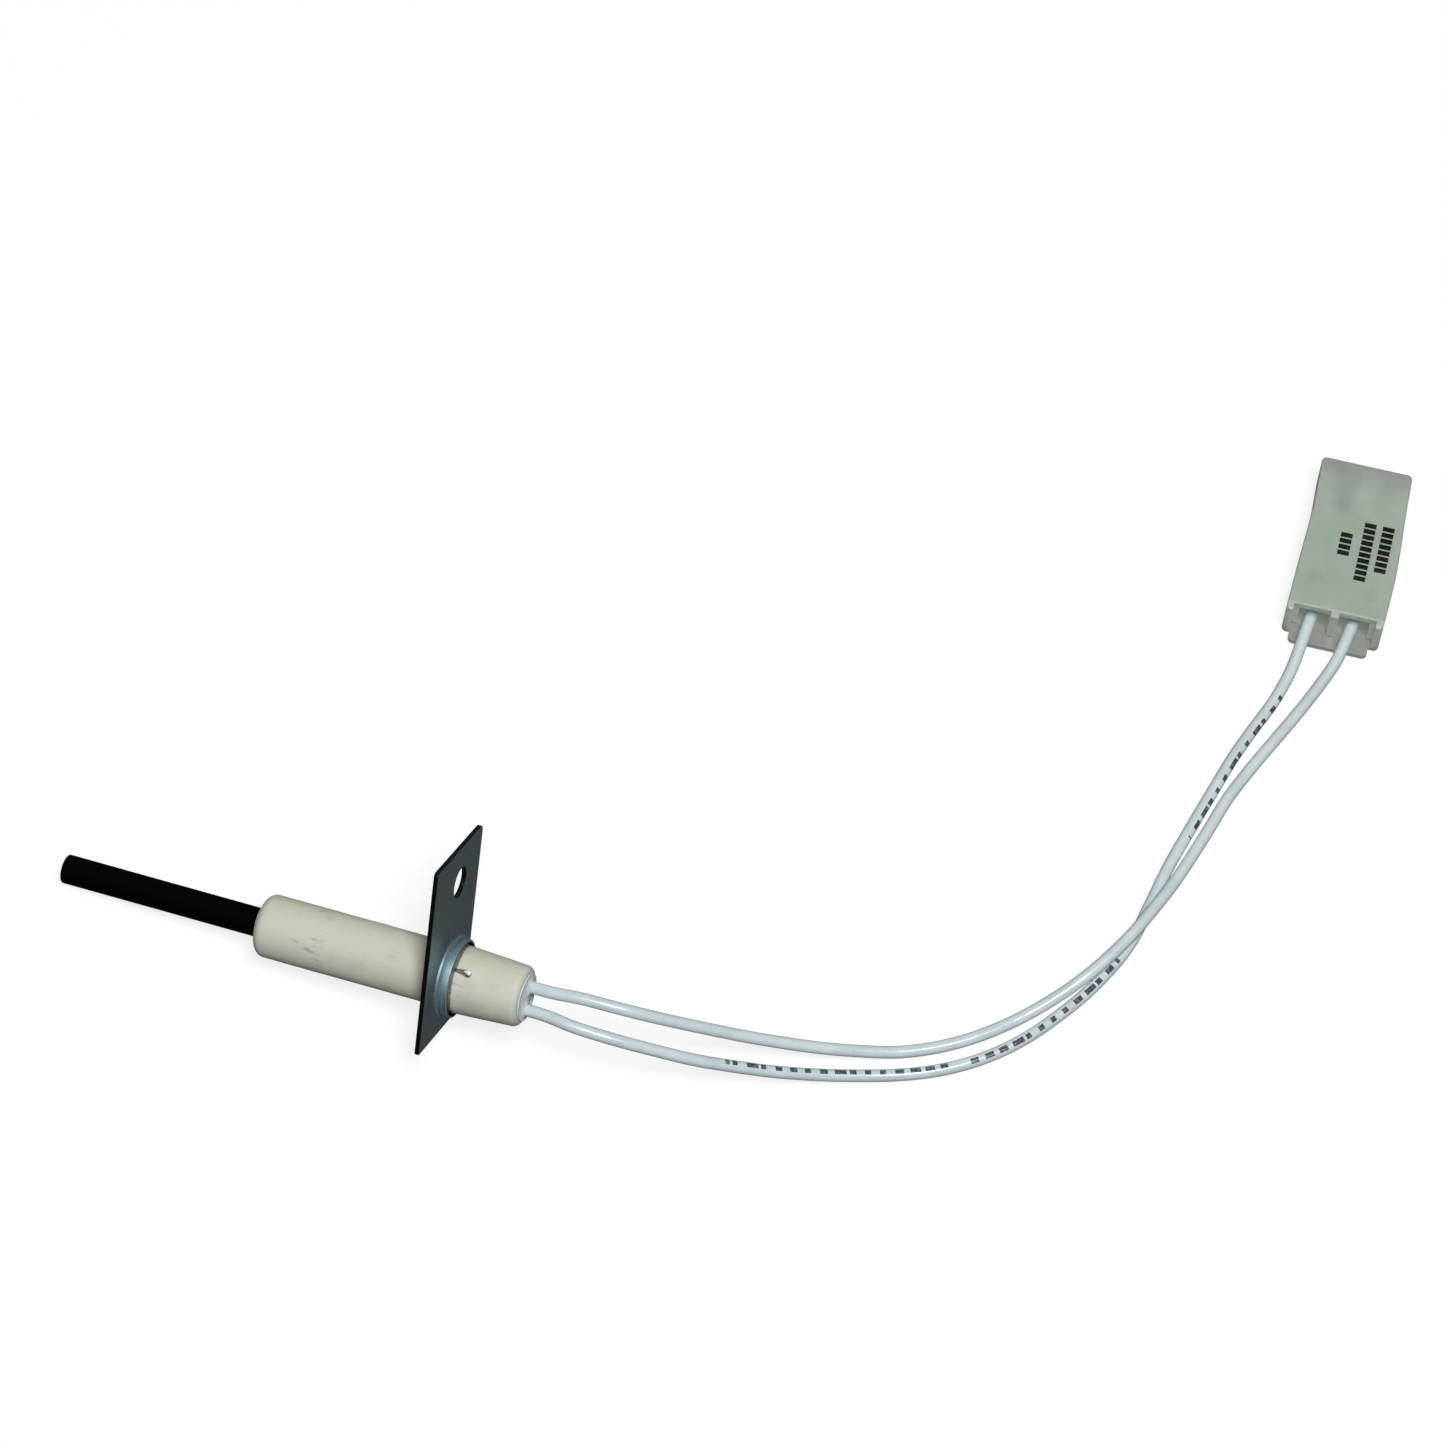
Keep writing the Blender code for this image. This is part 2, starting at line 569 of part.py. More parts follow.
def make_terminal(plug, name, side_sign):
    """A receptacle with rolled edges, a floor strip, a conductor barrel and an insulation barrel."""
    half = TERMINAL_WIDTH / 2 - TERMINAL_SHEET / 2
    top = TERMINAL_HEIGHT - TERMINAL_SHEET / 2
    base = TERMINAL_SHEET / 2
    bend = 0.35 * MM
    arm = [(half - bend, base), (half, base + bend), (half, top - bend), (half - bend, top),
           (half - 3 * bend, top - 0.5 * bend), (half - 4 * bend, top - 2.5 * bend)]
    path = [(-x, z) for x, z in reversed(arm)] + arm
    receptacle = outline("terminal_" + name, ribbon(path, TERMINAL_SHEET), TERMINAL_BOX_LENGTH, plug,
                         "tinned_brass")
    x = side_sign * CAVITY_CENTRE
    receptacle.location = (x, -TERMINAL_FRONT - TERMINAL_BOX_LENGTH / 2, TERMINAL_FLOOR)
    receptacle.rotation_euler = (math.pi / 2, 0.0, 0.0)
    barrel_front = -BARREL_START
    strip_start = -TERMINAL_FRONT - TERMINAL_BOX_LENGTH + MM
    strip_end = -CLASP_END
    strip = box("strip_" + name, (STRIP_WIDTH, strip_start - strip_end, STRIP_HEIGHT),
                (x, (strip_start + strip_end) / 2, TERMINAL_FLOOR + STRIP_LIFT + STRIP_HEIGHT / 2),
                plug, cutter=True)
    boolean(receptacle, strip, "UNION")
    for part, inner, outer, front, end in (
            ("barrel", BARREL_INNER, BARREL_OUTER, barrel_front, barrel_front - BARREL_LENGTH),
            ("clasp", CLASP_INNER, CLASP_OUTER, -CLASP_START, strip_end)):
        ring = turned(part + "_" + name, [(inner, front), (outer, front), (outer, end), (inner, end)],
                      plug, cutter=True, steps=20)
        ring.rotation_euler = (-math.pi / 2, 0.0, 0.0)
        ring.location = (x, 0.0, LEAD_HEIGHT_IN_PLUG)
        boolean(receptacle, ring, "UNION")
    lead = "upper" if side_sign > 0 else "lower"
    conductor = cylinder("conductor_" + lead + "_outer", CONDUCTOR_RADIUS, -PLUG_LEAD_END + GAP,
                         barrel_front - CONDUCTOR_SET_BACK, plug, "copper_tin", segments=16, axis="Y")
    conductor.location = (x, 0.0, LEAD_HEIGHT_IN_PLUG)


PARTS = new_collection("ignition_electrode")
CUTTERS = new_collection("cutters")


def main():
    clear_scene()
    pitch = resting_pitch()
    rest_height = -ROD_TIP * math.sin(pitch) + ROD_RADIUS * math.cos(pitch)
    rest = add_empty("igniter_rest", (IGNITER_X, IGNITER_Y, rest_height), (ROLL, -pitch, 0.0))
    # X towards the bracket's screw hole, Z along the igniter's axis towards the leads
    axis = add_empty("igniter_axis", rotation=(math.pi, -math.pi / 2, 0.0), parent=rest)
    plug = add_empty("plug", (PLUG_X, PLUG_Y, 0.0), (0.0, 0.0, PLUG_TURN))
    make_rod(axis)
    make_sleeve(axis)
    make_set_bead(axis)
    make_cements(axis)
    make_bracket(axis)
    make_splices(axis)
    make_leads()
    make_housing(plug)
    make_terminal(plug, "left", -1)
    make_terminal(plug, "right", 1)


main()
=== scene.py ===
"""Looks of the ignition electrode: camera, leads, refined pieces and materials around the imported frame."""

import math

import bmesh
import bpy
from mathutils import Matrix, Vector, noise
from mathutils.geometry import interpolate_bezier


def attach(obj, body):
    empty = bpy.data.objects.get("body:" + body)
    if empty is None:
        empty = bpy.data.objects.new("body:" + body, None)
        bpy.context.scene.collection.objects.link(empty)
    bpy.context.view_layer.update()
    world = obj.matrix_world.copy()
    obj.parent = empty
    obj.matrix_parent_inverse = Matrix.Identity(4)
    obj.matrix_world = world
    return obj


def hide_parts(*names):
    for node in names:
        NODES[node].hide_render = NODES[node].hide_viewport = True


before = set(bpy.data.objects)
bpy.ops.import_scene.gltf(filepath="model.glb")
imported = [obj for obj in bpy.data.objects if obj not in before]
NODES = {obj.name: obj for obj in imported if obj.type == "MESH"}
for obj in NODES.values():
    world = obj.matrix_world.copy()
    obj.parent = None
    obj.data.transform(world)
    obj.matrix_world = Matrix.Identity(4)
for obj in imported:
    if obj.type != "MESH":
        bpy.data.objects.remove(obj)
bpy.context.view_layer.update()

MM = 0.001

# Igniter, measured along its axis from the bracket's rear face; X is towards the screw hole
ROLL = math.radians(-37.0)
PITCH = math.radians(9.25137)
IGNITER_PLACE = (25.21 * MM, -3.53 * MM, 12.60735 * MM)
ROD_RADIUS = 2.3 * MM
ROD_TIP = -64.3 * MM
ROD_TIP_EDGE = 0.3 * MM
ROD_INNER_END = -14.0 * MM
ROD_INNER_EDGE = 0.1 * MM
ROD_RING_SPACING = 1.5 * MM
ROD_UNEVENNESS = (0.004 * MM, 6.0 * MM)
SLEEVE_FRONT = -31.0 * MM
SLEEVE_REAR = 12.9 * MM
SLEEVE_RADIUS = 5.0 * MM
SLEEVE_FRONT_EDGE = 1.6 * MM
SHOULDER_RADIUS = 5.5 * MM
NECK_RADIUS = 5.38 * MM
SHOULDER_START = -1.2 * MM
REAR_RADIUS = 4.85 * MM
REAR_EDGE = 1.1 * MM
BORE_RADIUS = 3.75 * MM
FRONT_BORE_RADIUS = 3.4 * MM
BORE_MOUTH = 0.35 * MM
SEAT_LOW = -0.5 * MM
SEAT_HIGH = 1.35 * MM
NECK_FOOT = 1.7 * MM
NECK_RING_SPACING = 0.8 * MM
BODY_RING_SPACING = 0.9 * MM
SLEEVE_UNEVENNESS = (0.03 * MM, 4.0 * MM)

# Bracket
SHEET = 0.8 * MM
PLATE_LOW_SIDE = 9.0 * MM
PLATE_HIGH_SIDE = 9.8 * MM
PLATE_TOP = 22.4 * MM
PLATE_BOTTOM = 9.4 * MM
PLATE_CORNER = 0.7 * MM
PLATE_TOP_CORNER = 1.0 * MM
PLATE_TIP_CORNER = 0.25 * MM
LONG_SIDE_STEPS = 64
SHORT_SIDE_STEPS = 44
COLLAR_INNER = 5.8 * MM
COLLAR_OUTER = 6.3 * MM
COLLAR_HEIGHT = 2.1 * MM
COLLAR_ENTRY = 0.5 * MM
COLLAR_MOUTH_EDGE = 0.12 * MM
COLLAR_RIM_EDGE = 0.24 * MM
FOOT_CENTRE = (COLLAR_OUTER + 0.10 * MM, 0.40 * MM)
FOOT_EDGE = 0.32 * MM
DISH_END = 8.4 * MM
ROLLED_EDGE = 0.2 * MM
SHEARED_EDGE = 0.12 * MM
HOLE_EDGE = 0.14 * MM
SCREW_HOLE_RADIUS = 2.45 * MM
SCREW_HOLE_AT = (16.0 * MM, -0.8 * MM)

# The collar's outer side, as (distance past its wall, height) in mm: waist, then the spread of its foot
COLLAR_WAIST = [(0.03, 1.3), (0.06, 0.86), (0.02, 0.80), (0.02, 0.74)]
COLLAR_FOOT = [(0.48, 0.27), (0.66, 0.19), (1.0, 0.11), (1.5, 0.04), (1.9, 0.01)]

# Slit in the holder's rear part, its round pocket and the bead in it
SLIT_TURN = math.radians(47.5)
SLIT_START = 2.4 * MM
SLIT_LENGTH = 1.5 * MM
SLIT_DEPTH = 0.75 * MM
SLIT_HALF = 0.2 * MM
SLIT_MOUTH_HALF = 0.3 * MM
POCKET_RADIUS = 0.62 * MM
BEAD_HALF_SIZE_MM = (0.55, 0.44, 0.42)
BEAD_AT = (SLIT_LENGTH + 0.62 * MM, -0.12 * MM, 0.0)

# Leads
UPPER_EXIT = Vector((1.4 * MM, -0.95 * MM, 0.0))
LOWER_EXIT = Vector((-1.9 * MM, 0.35 * MM, 0.0))
LEAD_RADIUS = 0.975 * MM
LEAD_SIDES = 32
LEAD_RING_SPACING = 0.7 * MM
LEAD_SUBSTEPS = 12
UPPER_ROUTE = [
    (0.0290, -0.0019, 0.0138), (0.0339, -0.0019, 0.0146), (0.0379, -0.0019, 0.0152),
    (0.0418, -0.0019, 0.0159), (0.0462, -0.0014, 0.0163), (0.0525, -0.0007, 0.0159),
    (0.0586, 0.0007, 0.0140), (0.0646, 0.0026, 0.0113), (0.0705, 0.0047, 0.0083),
    (0.0764, 0.0069, 0.0056), (0.0822, 0.0090, 0.0036), (0.0879, 0.0112, 0.0022),
    (0.0934, 0.0135, 0.0013), (0.0987, 0.0165, 0.0010), (0.1037, 0.0202, 0.0010),
    (0.1084, 0.0248, 0.0010), (0.1129, 0.0301, 0.0016), (0.1170, 0.0359, 0.0027),
    (0.1206, 0.0431, 0.0032), (0.1228, 0.0494, 0.0031), (0.1247, 0.0565, 0.0022),
    (0.1265, 0.0659, 0.0011), (0.1277, 0.0725, 0.0010), (0.1295, 0.0787, 0.0010),
    (0.1313, 0.0841, 0.0010), (0.1333, 0.0899, 0.0011), (0.1351, 0.0956, 0.0015),
    (0.1364, 0.1004, 0.0023), (0.1368, 0.1044, 0.0029), (0.1369, 0.1084, 0.0032),
    (0.1365, 0.1124, 0.0032), (0.1362, 0.1150, 0.0032),
]
LOWER_ROUTE = [
    (0.0293, -0.0050, 0.0119), (0.0342, -0.0050, 0.0127), (0.0382, -0.0050, 0.0134),
    (0.0421, -0.0051, 0.0140), (0.0466, -0.0054, 0.0142), (0.0529, -0.0049, 0.0135),
    (0.0590, -0.0036, 0.0115), (0.0650, -0.0019, 0.0089), (0.0710, 0.0003, 0.0063),
    (0.0771, 0.0026, 0.0041), (0.0831, 0.0050, 0.0026), (0.0890, 0.0075, 0.0016),
    (0.0949, 0.0101, 0.0011), (0.1006, 0.0132, 0.0010), (0.1059, 0.0172, 0.0010),
    (0.1107, 0.0223, 0.0010), (0.1149, 0.0286, 0.0010), (0.1184, 0.0353, 0.0010),
    (0.1211, 0.0432, 0.0010), (0.1220, 0.0509, 0.0010), (0.1227, 0.0583, 0.0010),
    (0.1241, 0.0671, 0.0010), (0.1251, 0.0729, 0.0010), (0.1263, 0.0796, 0.0010),
    (0.1277, 0.0853, 0.0010), (0.1293, 0.0911, 0.0012), (0.1302, 0.0969, 0.0018),
    (0.1303, 0.1024, 0.0027), (0.1303, 0.1075, 0.0031), (0.1301, 0.1116, 0.0032),
    (0.1298, 0.1142, 0.0032),
]

# Camera, at the viewing angle of the reference
CAMERA_PLACE = (0.185170, -0.453507, 1.151010)
CAMERA_RIGHT = (0.940579, 0.337417, 0.038219)
CAMERA_UP = (-0.322035, 0.850623, 0.415613)
CAMERA_BACK = (0.107725, -0.403224, 0.908738)
CAMERA_LENS = 200.0
SENSOR_WIDTH = 36.0

# Plug housing: x across, y along, from the mating end towards the leads
PLUG_PLACE = (130.87 * MM, 132.35 * MM, 0.0)
PLUG_TURN = math.radians(6.8)
PLUG_HEIGHT = 8.5 * MM
PLUG_FRONT_HALF = 7.35 * MM
PLUG_REAR_HALF = 7.85 * MM
PLUG_LENGTH = 27.9 * MM
PLUG_ROOF_LENGTH = 26.6 * MM
PLUG_DIVIDER_END = 27.6 * MM
PLUG_WALL = 1.3 * MM
PLUG_SIDE_WALL = 1.2 * MM
PLUG_CORNER = 0.8 * MM
PLUG_BOW = 0.35 * MM
PLUG_EDGE = 0.4 * MM
PLUG_FLARE_START = 5.0 * MM
PLUG_FLARE_END = 21.0 * MM
TONGUE_END = 29.6 * MM
TONGUE_LEFT = -6.5 * MM
TONGUE_RIGHT = 6.3 * MM
TONGUE_CORNER = 0.8 * MM
TONGUE_BLANK = 1.6 * MM
TONGUE_LIFT = 0.02 * MM
TONGUE_TOP = 1.2 * MM
CAVITY_CENTRE = 3.2 * MM
CAVITY_WIDTH = 5.1 * MM
CAVITY_CORNER = 0.35 * MM
CLEARING_LIFT = 0.003 * MM
PLUG_CUT_EDGE = 0.08 * MM

# Cement: how far it climbs what it meets, over what distance, and its ripple
WALL_CLIMB = (0.30 * MM, 0.45 * MM)
LEAD_CLIMB = (0.60 * MM, 0.8 * MM)
CEMENT_RIPPLE = (0.05 * MM, 1.1 * MM)
CEMENT_RINGS = 18
REAR_CEMENT_FACE = SLEEVE_REAR - 0.16 * MM
REAR_CEMENT_DEPTH = 4.5 * MM
FRONT_CEMENT_FACE = SLEEVE_FRONT + 0.55 * MM
FRONT_CEMENT_DEPTH = 5.5 * MM

# Floor and light
FLOOR_HALF = 6.0
FLOOR_DROP = 0.02 * MM
FLOOR_GREY = 0.20
FLOOR_GLOW = 0.80
WORLD_COLOUR = (0.94, 0.97, 1.0)
WORLD_STRENGTH = 0.135
LIT_SPOT = (0.05, 0.05, 0.0)
KEY_PLACE = (0.36, -0.34, 1.76)
KEY_SIZE = 0.65
KEY_POWER = 32.0
FILL_PLACE = (-0.5, 1.5, 0.45)
FILL_SIZE = 0.8
FILL_POWER = 2.2

# Painted glow of the housing, standing in for light that soaks through its thin walls, stronger in the wire
# mouths
PAINTED_WALL_GLOW = 0.065
PAINTED_MOUTH_GLOW = 0.09

# Printed dashes on the lower lead: (start, end, degrees from the top towards the right-hand side)
DASH_PITCH = 2.4 * MM
DASH_SHARES = (0.35, 0.85)
MARKED_STRETCHES = [
    (42.0 * MM, 78.0 * MM, -15.0),
    (80.5 * MM, 111.0 * MM, 11.0),
    (135.0 * MM, 164.0 * MM, 51.0),
]

# Ink bars on the housing: rows along y, as (x, start, end)
INK_ROWS = [
    (5.4 * MM, -9.8 * MM, -18.3 * MM),
    (2.5 * MM, -9.8 * MM, -20.4 * MM),
    (-0.9 * MM, -12.3 * MM, -16.54 * MM),
]
INK_HALF = 0.95 * MM
INK_PITCH = 1.06 * MM
INK_SHARE = 0.78
INK_SMOOTHNESS = 0.16

# Painted shade on the housing over its hollows, as (low x, high x, low y, high y, depth), and over the crimps
SHADED_HOLLOWS = [
    (-4.2 * MM, -1.0 * MM, -9.0 * MM, -1.0 * MM, 0.42),
    (2.6 * MM, 4.5 * MM, -5.0 * MM, 0.0, 0.3),
]
CLASP_SHADES = [(-4.5 * MM, -21.1 * MM), (4.8 * MM, -22.5 * MM)]

# Soft steps of colour, as (from, to) along one axis: the holder's in its own frame, then the housing's
SCUFFED = (-24.5 * MM, -19.5 * MM)
REAR_PART = (0.0, 0.5 * MM)
# reach of the painted shadow along the collar's lip
LIP_SHADOW_REACH = (0.30 * MM, 0.50 * MM)
# end of the painted shade along the slit's edges
SLIT_SHADE_END = (SLIT_START + 2.2 * MM, SLIT_START + 2.6 * MM)
COLLAR_RISE = (0.3 * MM, 0.75 * MM)
SHEARED_SIDES = (-0.74 * MM, -0.06 * MM)
MATING_END = (-5.5 * MM, 0.5 * MM)
# painted shade towards the housing's bottom
SHADED_BOTTOM = (2.0 * MM, 1.0 * MM)
TOP_FACE = (8.3 * MM, 8.4 * MM)
# where the painted highlight runs along the roof's lip
LIP_ALONG = (-26.0 * MM, -26.5 * MM)
LIP_UP = (6.8 * MM, 7.2 * MM)
# where the painted glow is stronger, inside the wire mouths
MOUTH_ALONG = (-15 * MM, -21 * MM)
MOUTH_DOWN = (7.4 * MM, 6.9 * MM)
# where painted light falls over the solid divider
DIVIDER_ALONG = (-9.2 * MM, -1.0 * MM)
DIVIDER_ACROSS = (-0.3 * MM, 2.1 * MM)

# Mesh building: steps round a turned piece, gap between fitted pieces, area from which a face is shaded flat
ROUND_STEPS = 144
GLUED = 0.02 * MM
FLAT_AREA = 4 * MM * MM
QUARTER_HANDLE = 0.55


def turn(x, y, z):
    """Rotation about X, then Y, then Z."""
    return Matrix.Rotation(z, 4, "Z") @ Matrix.Rotation(y, 4, "Y") @ Matrix.Rotation(x, 4, "X")


IGNITER = Matrix.Translation(IGNITER_PLACE) @ turn(ROLL, -PITCH, 0.0) @ turn(math.pi, -math.pi / 2, 0.0)
PLUG = Matrix.Translation(PLUG_PLACE) @ turn(0.0, 0.0, PLUG_TURN)


# ---------------------------------------------------------------- camera, floor and lights

def make_camera():
    data = bpy.data.cameras.new("camera")
    data.lens = CAMERA_LENS
    data.sensor_width = SENSOR_WIDTH
    camera = bpy.data.objects.new("camera", data)
    columns = (CAMERA_RIGHT, CAMERA_UP, CAMERA_BACK, CAMERA_PLACE)
    camera.matrix_world = Matrix([[column[row] for column in columns] for row in range(3)] + [[0, 0, 0, 1]])
    bpy.context.scene.collection.objects.link(camera)
    bpy.context.scene.camera = camera


def add_area_light(name, place, size, power):
    data = bpy.data.lights.new(name, "AREA")
    data.shape = "DISK"
    data.size = size
    data.energy = power
    light = bpy.data.objects.new(name, data)
    light.location = place
    light.rotation_mode = "QUATERNION"
    light.rotation_quaternion = (Vector(LIT_SPOT) - Vector(place)).to_track_quat("-Z", "Y")
    bpy.context.scene.collection.objects.link(light)


def make_floor():
    """A pale floor that glows, so that only faint shadows show on it."""
    mesh = bpy.data.meshes.new("floor")
    half = FLOOR_HALF
    corners = [(-half, -half, 0), (half, -half, 0), (half, half, 0), (-half, half, 0)]
    mesh.from_pydata(corners, [], [(0, 1, 2, 3)])
    floor = bpy.data.objects.new("floor", mesh)
    floor.location.z = -FLOOR_DROP
    bpy.context.scene.collection.objects.link(floor)
    floor.visible_diffuse = False
    floor.visible_glossy = False
    look = Look("floor_backlit", (FLOOR_GREY, FLOOR_GREY, FLOOR_GREY), 0.9, specular=0.0)
    look.set("Emission Color", (1.0, 1.0, 1.0, 1.0))
    look.set("Emission Strength", FLOOR_GLOW)
    mesh.materials.append(look.material)


def make_light():
    world = bpy.data.worlds.new("studio")
    world.use_nodes = True
    background = world.node_tree.nodes["Background"].inputs
    background["Color"].default_value = (*WORLD_COLOUR, 1.0)
    background["Strength"].default_value = WORLD_STRENGTH
    bpy.context.scene.world = world
    add_area_light("key", KEY_PLACE, KEY_SIZE, KEY_POWER)
    add_area_light("back_fill", FILL_PLACE, FILL_SIZE, FILL_POWER)
    bpy.context.scene.view_settings.view_transform = "Standard"


# ---------------------------------------------------------------- materials

class Look:
    """A Principled material, with short calls for the nodes that feed it."""

    def __init__(self, name, colour, roughness, metallic=0.0, specular=0.5):
        self.material = bpy.data.materials.new(name)
        self.material.use_nodes = True
        self.nodes = self.material.node_tree.nodes
        self.links = self.material.node_tree.links
        self.shader = self.nodes["Principled BSDF"]
        self.set("Base Color", (*colour, 1.0))
        self.set("Roughness", roughness)
        self.set("Metallic", metallic)
        self.set("Specular IOR Level", specular)

    def set(self, socket, value):
        self.fill(self.shader.inputs[socket], value)

    def fill(self, socket, value):
        if isinstance(value, bpy.types.NodeSocket):
            self.links.new(value, socket)
        else:
            socket.default_value = value

    def node(self, kind, inputs, **settings):
        made = self.nodes.new("ShaderNode" + kind)
        for key, value in settings.items():
            setattr(made, key, value)
        for key, value in inputs.items():
            self.fill(made.inputs[key], value)
        return made

    def maths(self, operation, a, b=0.0):
        return self.node("Math", {0: a, 1: b}, operation=operation).outputs[0]

    def place(self, scale=(1, 1, 1)):
        """The surface's own coordinates in metres, stretched by a scale."""
        coords = self.node("TexCoord", {}).outputs["Object"]
        return self.node("Mapping", {"Vector": coords, "Scale": scale}).outputs[0]

    def axes(self, vector=None):
        parts = self.node("SeparateXYZ", {0: vector or self.place()}).outputs
        return parts[0], parts[1], parts[2]

    def times(self, first, *others):
        """The product of two or more values."""
        for other in others:
            first = self.maths("MULTIPLY", first, other)
        return first

    def plus(self, a, b):
        return self.maths("ADD", a, b)

    def minus(self, a, b):
        return self.maths("SUBTRACT", a, b)

    def most(self, a, b):
        return self.maths("MAXIMUM", a, b)

    def radius(self, x, y):
        return self.maths("SQRT", self.plus(self.times(x, x), self.times(y, y)))

    def span(self, value, low, high, to_low=0.0, to_high=1.0):
        """A soft step from one value to another as the input runs from low to high."""
        inputs = {"Value": value, "From Min": low, "From Max": high, "To Min": to_low, "To Max": to_high}
        return self.node("MapRange", inputs, interpolation_type="SMOOTHSTEP").outputs[0]

    def band(self, value, low, high, soft):
        rise = self.span(value, low - soft, low + soft)
        fall = self.span(value, high - soft, high + soft, 1.0, 0.0)
        return self.times(rise, fall)

    def noise(self, size, scale=(1, 1, 1), detail=3.0, rough=0.5):
        """Noise whose features are about one size in metres, before the stretch."""
        inputs = {"Vector": self.place(scale), "Scale": 1.0 / size, "Detail": detail, "Roughness": rough}
        return self.node("TexNoise", inputs).outputs["Fac"]

    def mix(self, factor, a, b):
        a = a if isinstance(a, bpy.types.NodeSocket) else (*a, 1.0)
        b = b if isinstance(b, bpy.types.NodeSocket) else (*b, 1.0)
        return self.node("Mix", {0: factor, 6: a, 7: b}, data_type="RGBA").outputs[2]

    def bump(self, height, strength, distance=0.0001):
        inputs = {"Strength": strength, "Distance": distance, "Height": height}
        self.set("Normal", self.node("Bump", inputs).outputs[0])


def silicon_nitride():
    look = Look("silicon_nitride_ground", (0.0006, 0.0006, 0.0007), 0.7, specular=0.03)
    rings = look.noise(0.9 * MM, (0.15, 0.15, 6.0), detail=4.0)
    clouds = look.noise(3.0 * MM)
    look.set("Base Color", look.mix(clouds, (0.0003, 0.0003, 0.0004), (0.0009, 0.0009, 0.0011)))
    look.set("Roughness", look.span(rings, 0.3, 0.7, 0.6, 0.78))
    look.bump(rings, 0.25, 0.02 * MM)
    return look.material


def ceramic():
    """Cream body with greenish clouds, faint grey flecks drawn along the axis and a fine grain; a painted
    shadow by the collar's lip and painted shade along the slit's edges.
    """
    look = Look("ceramic_unglazed", (0.56, 0.56, 0.49), 0.6, specular=0.35)
    clouds = look.noise(9.0 * MM, (1.0, 1.0, 0.5))
    colour = look.mix(look.span(clouds, 0.35, 0.65), (0.555, 0.575, 0.445), (0.580, 0.585, 0.500))
    smudges = look.noise(3.2 * MM, (1.0, 1.0, 0.6), detail=4.0)
    colour = look.mix(look.span(smudges, 0.54, 0.74, 0.0, 0.3), colour, (0.37, 0.36, 0.34))
    x, y, z = look.axes()
    flecks = look.noise(0.8 * MM, (1.0, 1.0, 0.35), detail=3.0)
    worn = look.noise(5.0 * MM, (1.0, 1.0, 0.7))
    scuffed = look.times(look.band(z, *SCUFFED, 1.2 * MM), look.span(worn, 0.36, 0.52))
    patches = look.most(scuffed, look.span(worn, 0.58, 0.70, 0.0, 0.7))
    marks = look.times(look.span(flecks, 0.52, 0.70), patches)
    colour = look.mix(look.times(marks, 0.65), colour, (0.24, 0.24, 0.26))
    # painted shadow of the collar's lip: a near-black ring on the holder
    colour = look.mix(look.times(painted_lip_shadow(look, z), 0.9), colour, (0.03, 0.035, 0.035))
    # painted shade along the slit's edges
    colour = look.mix(look.times(painted_slit_shade(look, x, y, z), 0.85), colour, (0.035, 0.035, 0.038))
    grain = look.noise(0.16 * MM, detail=2.0)
    colour = look.mix(look.span(grain, 0.3, 0.7, 0.0, 0.2), colour, (0.48, 0.48, 0.42))
    look.set("Base Color", colour)
    look.set("Roughness", look.span(clouds, 0.3, 0.7, 0.5, 0.66))
    look.bump(look.plus(grain, look.times(smudges, 2.0)), 0.25, 0.03 * MM)
    return look.material


def painted_lip_shadow(look, z):
    """Painted shadow: a dark, slightly uneven ring round the holder, just past the collar's end, where the
    collar's lip shades it.
    """
    shadow_wobble = look.noise(2.0 * MM, detail=1.0)
    reach = look.plus(COLLAR_HEIGHT, look.span(shadow_wobble, 0.3, 0.7, *LIP_SHADOW_REACH))
    ring = look.minus(1.0, look.span(look.minus(z, reach), -0.12 * MM, 0.12 * MM))
    return look.times(ring, look.span(z, *REAR_PART))


def painted_slit_shade(look, x, y, z):
    """Painted shade along the edges of the slit, wider towards its pocket."""
    cosine = math.cos(SLIT_TURN)
    sine = math.sin(SLIT_TURN)
    across = look.minus(look.times(y, cosine), look.times(x, sine))
    outward = look.plus(look.times(x, cosine), look.times(y, sine))
    widening = look.span(z, SLIT_START, SLIT_START + 2 * MM, 0.2 * MM, 0.5 * MM)
    past = look.minus(look.maths("ABSOLUTE", across), widening)
    near = look.span(past, -0.06 * MM, 0.22 * MM, 1.0, 0.0)
    end = look.span(z, *SLIT_SHADE_END, 1.0, 0.0)
    on_this_side = look.times(look.span(z, *REAR_PART), look.span(outward, 0.0, MM))
    return look.times(near, end, on_this_side)


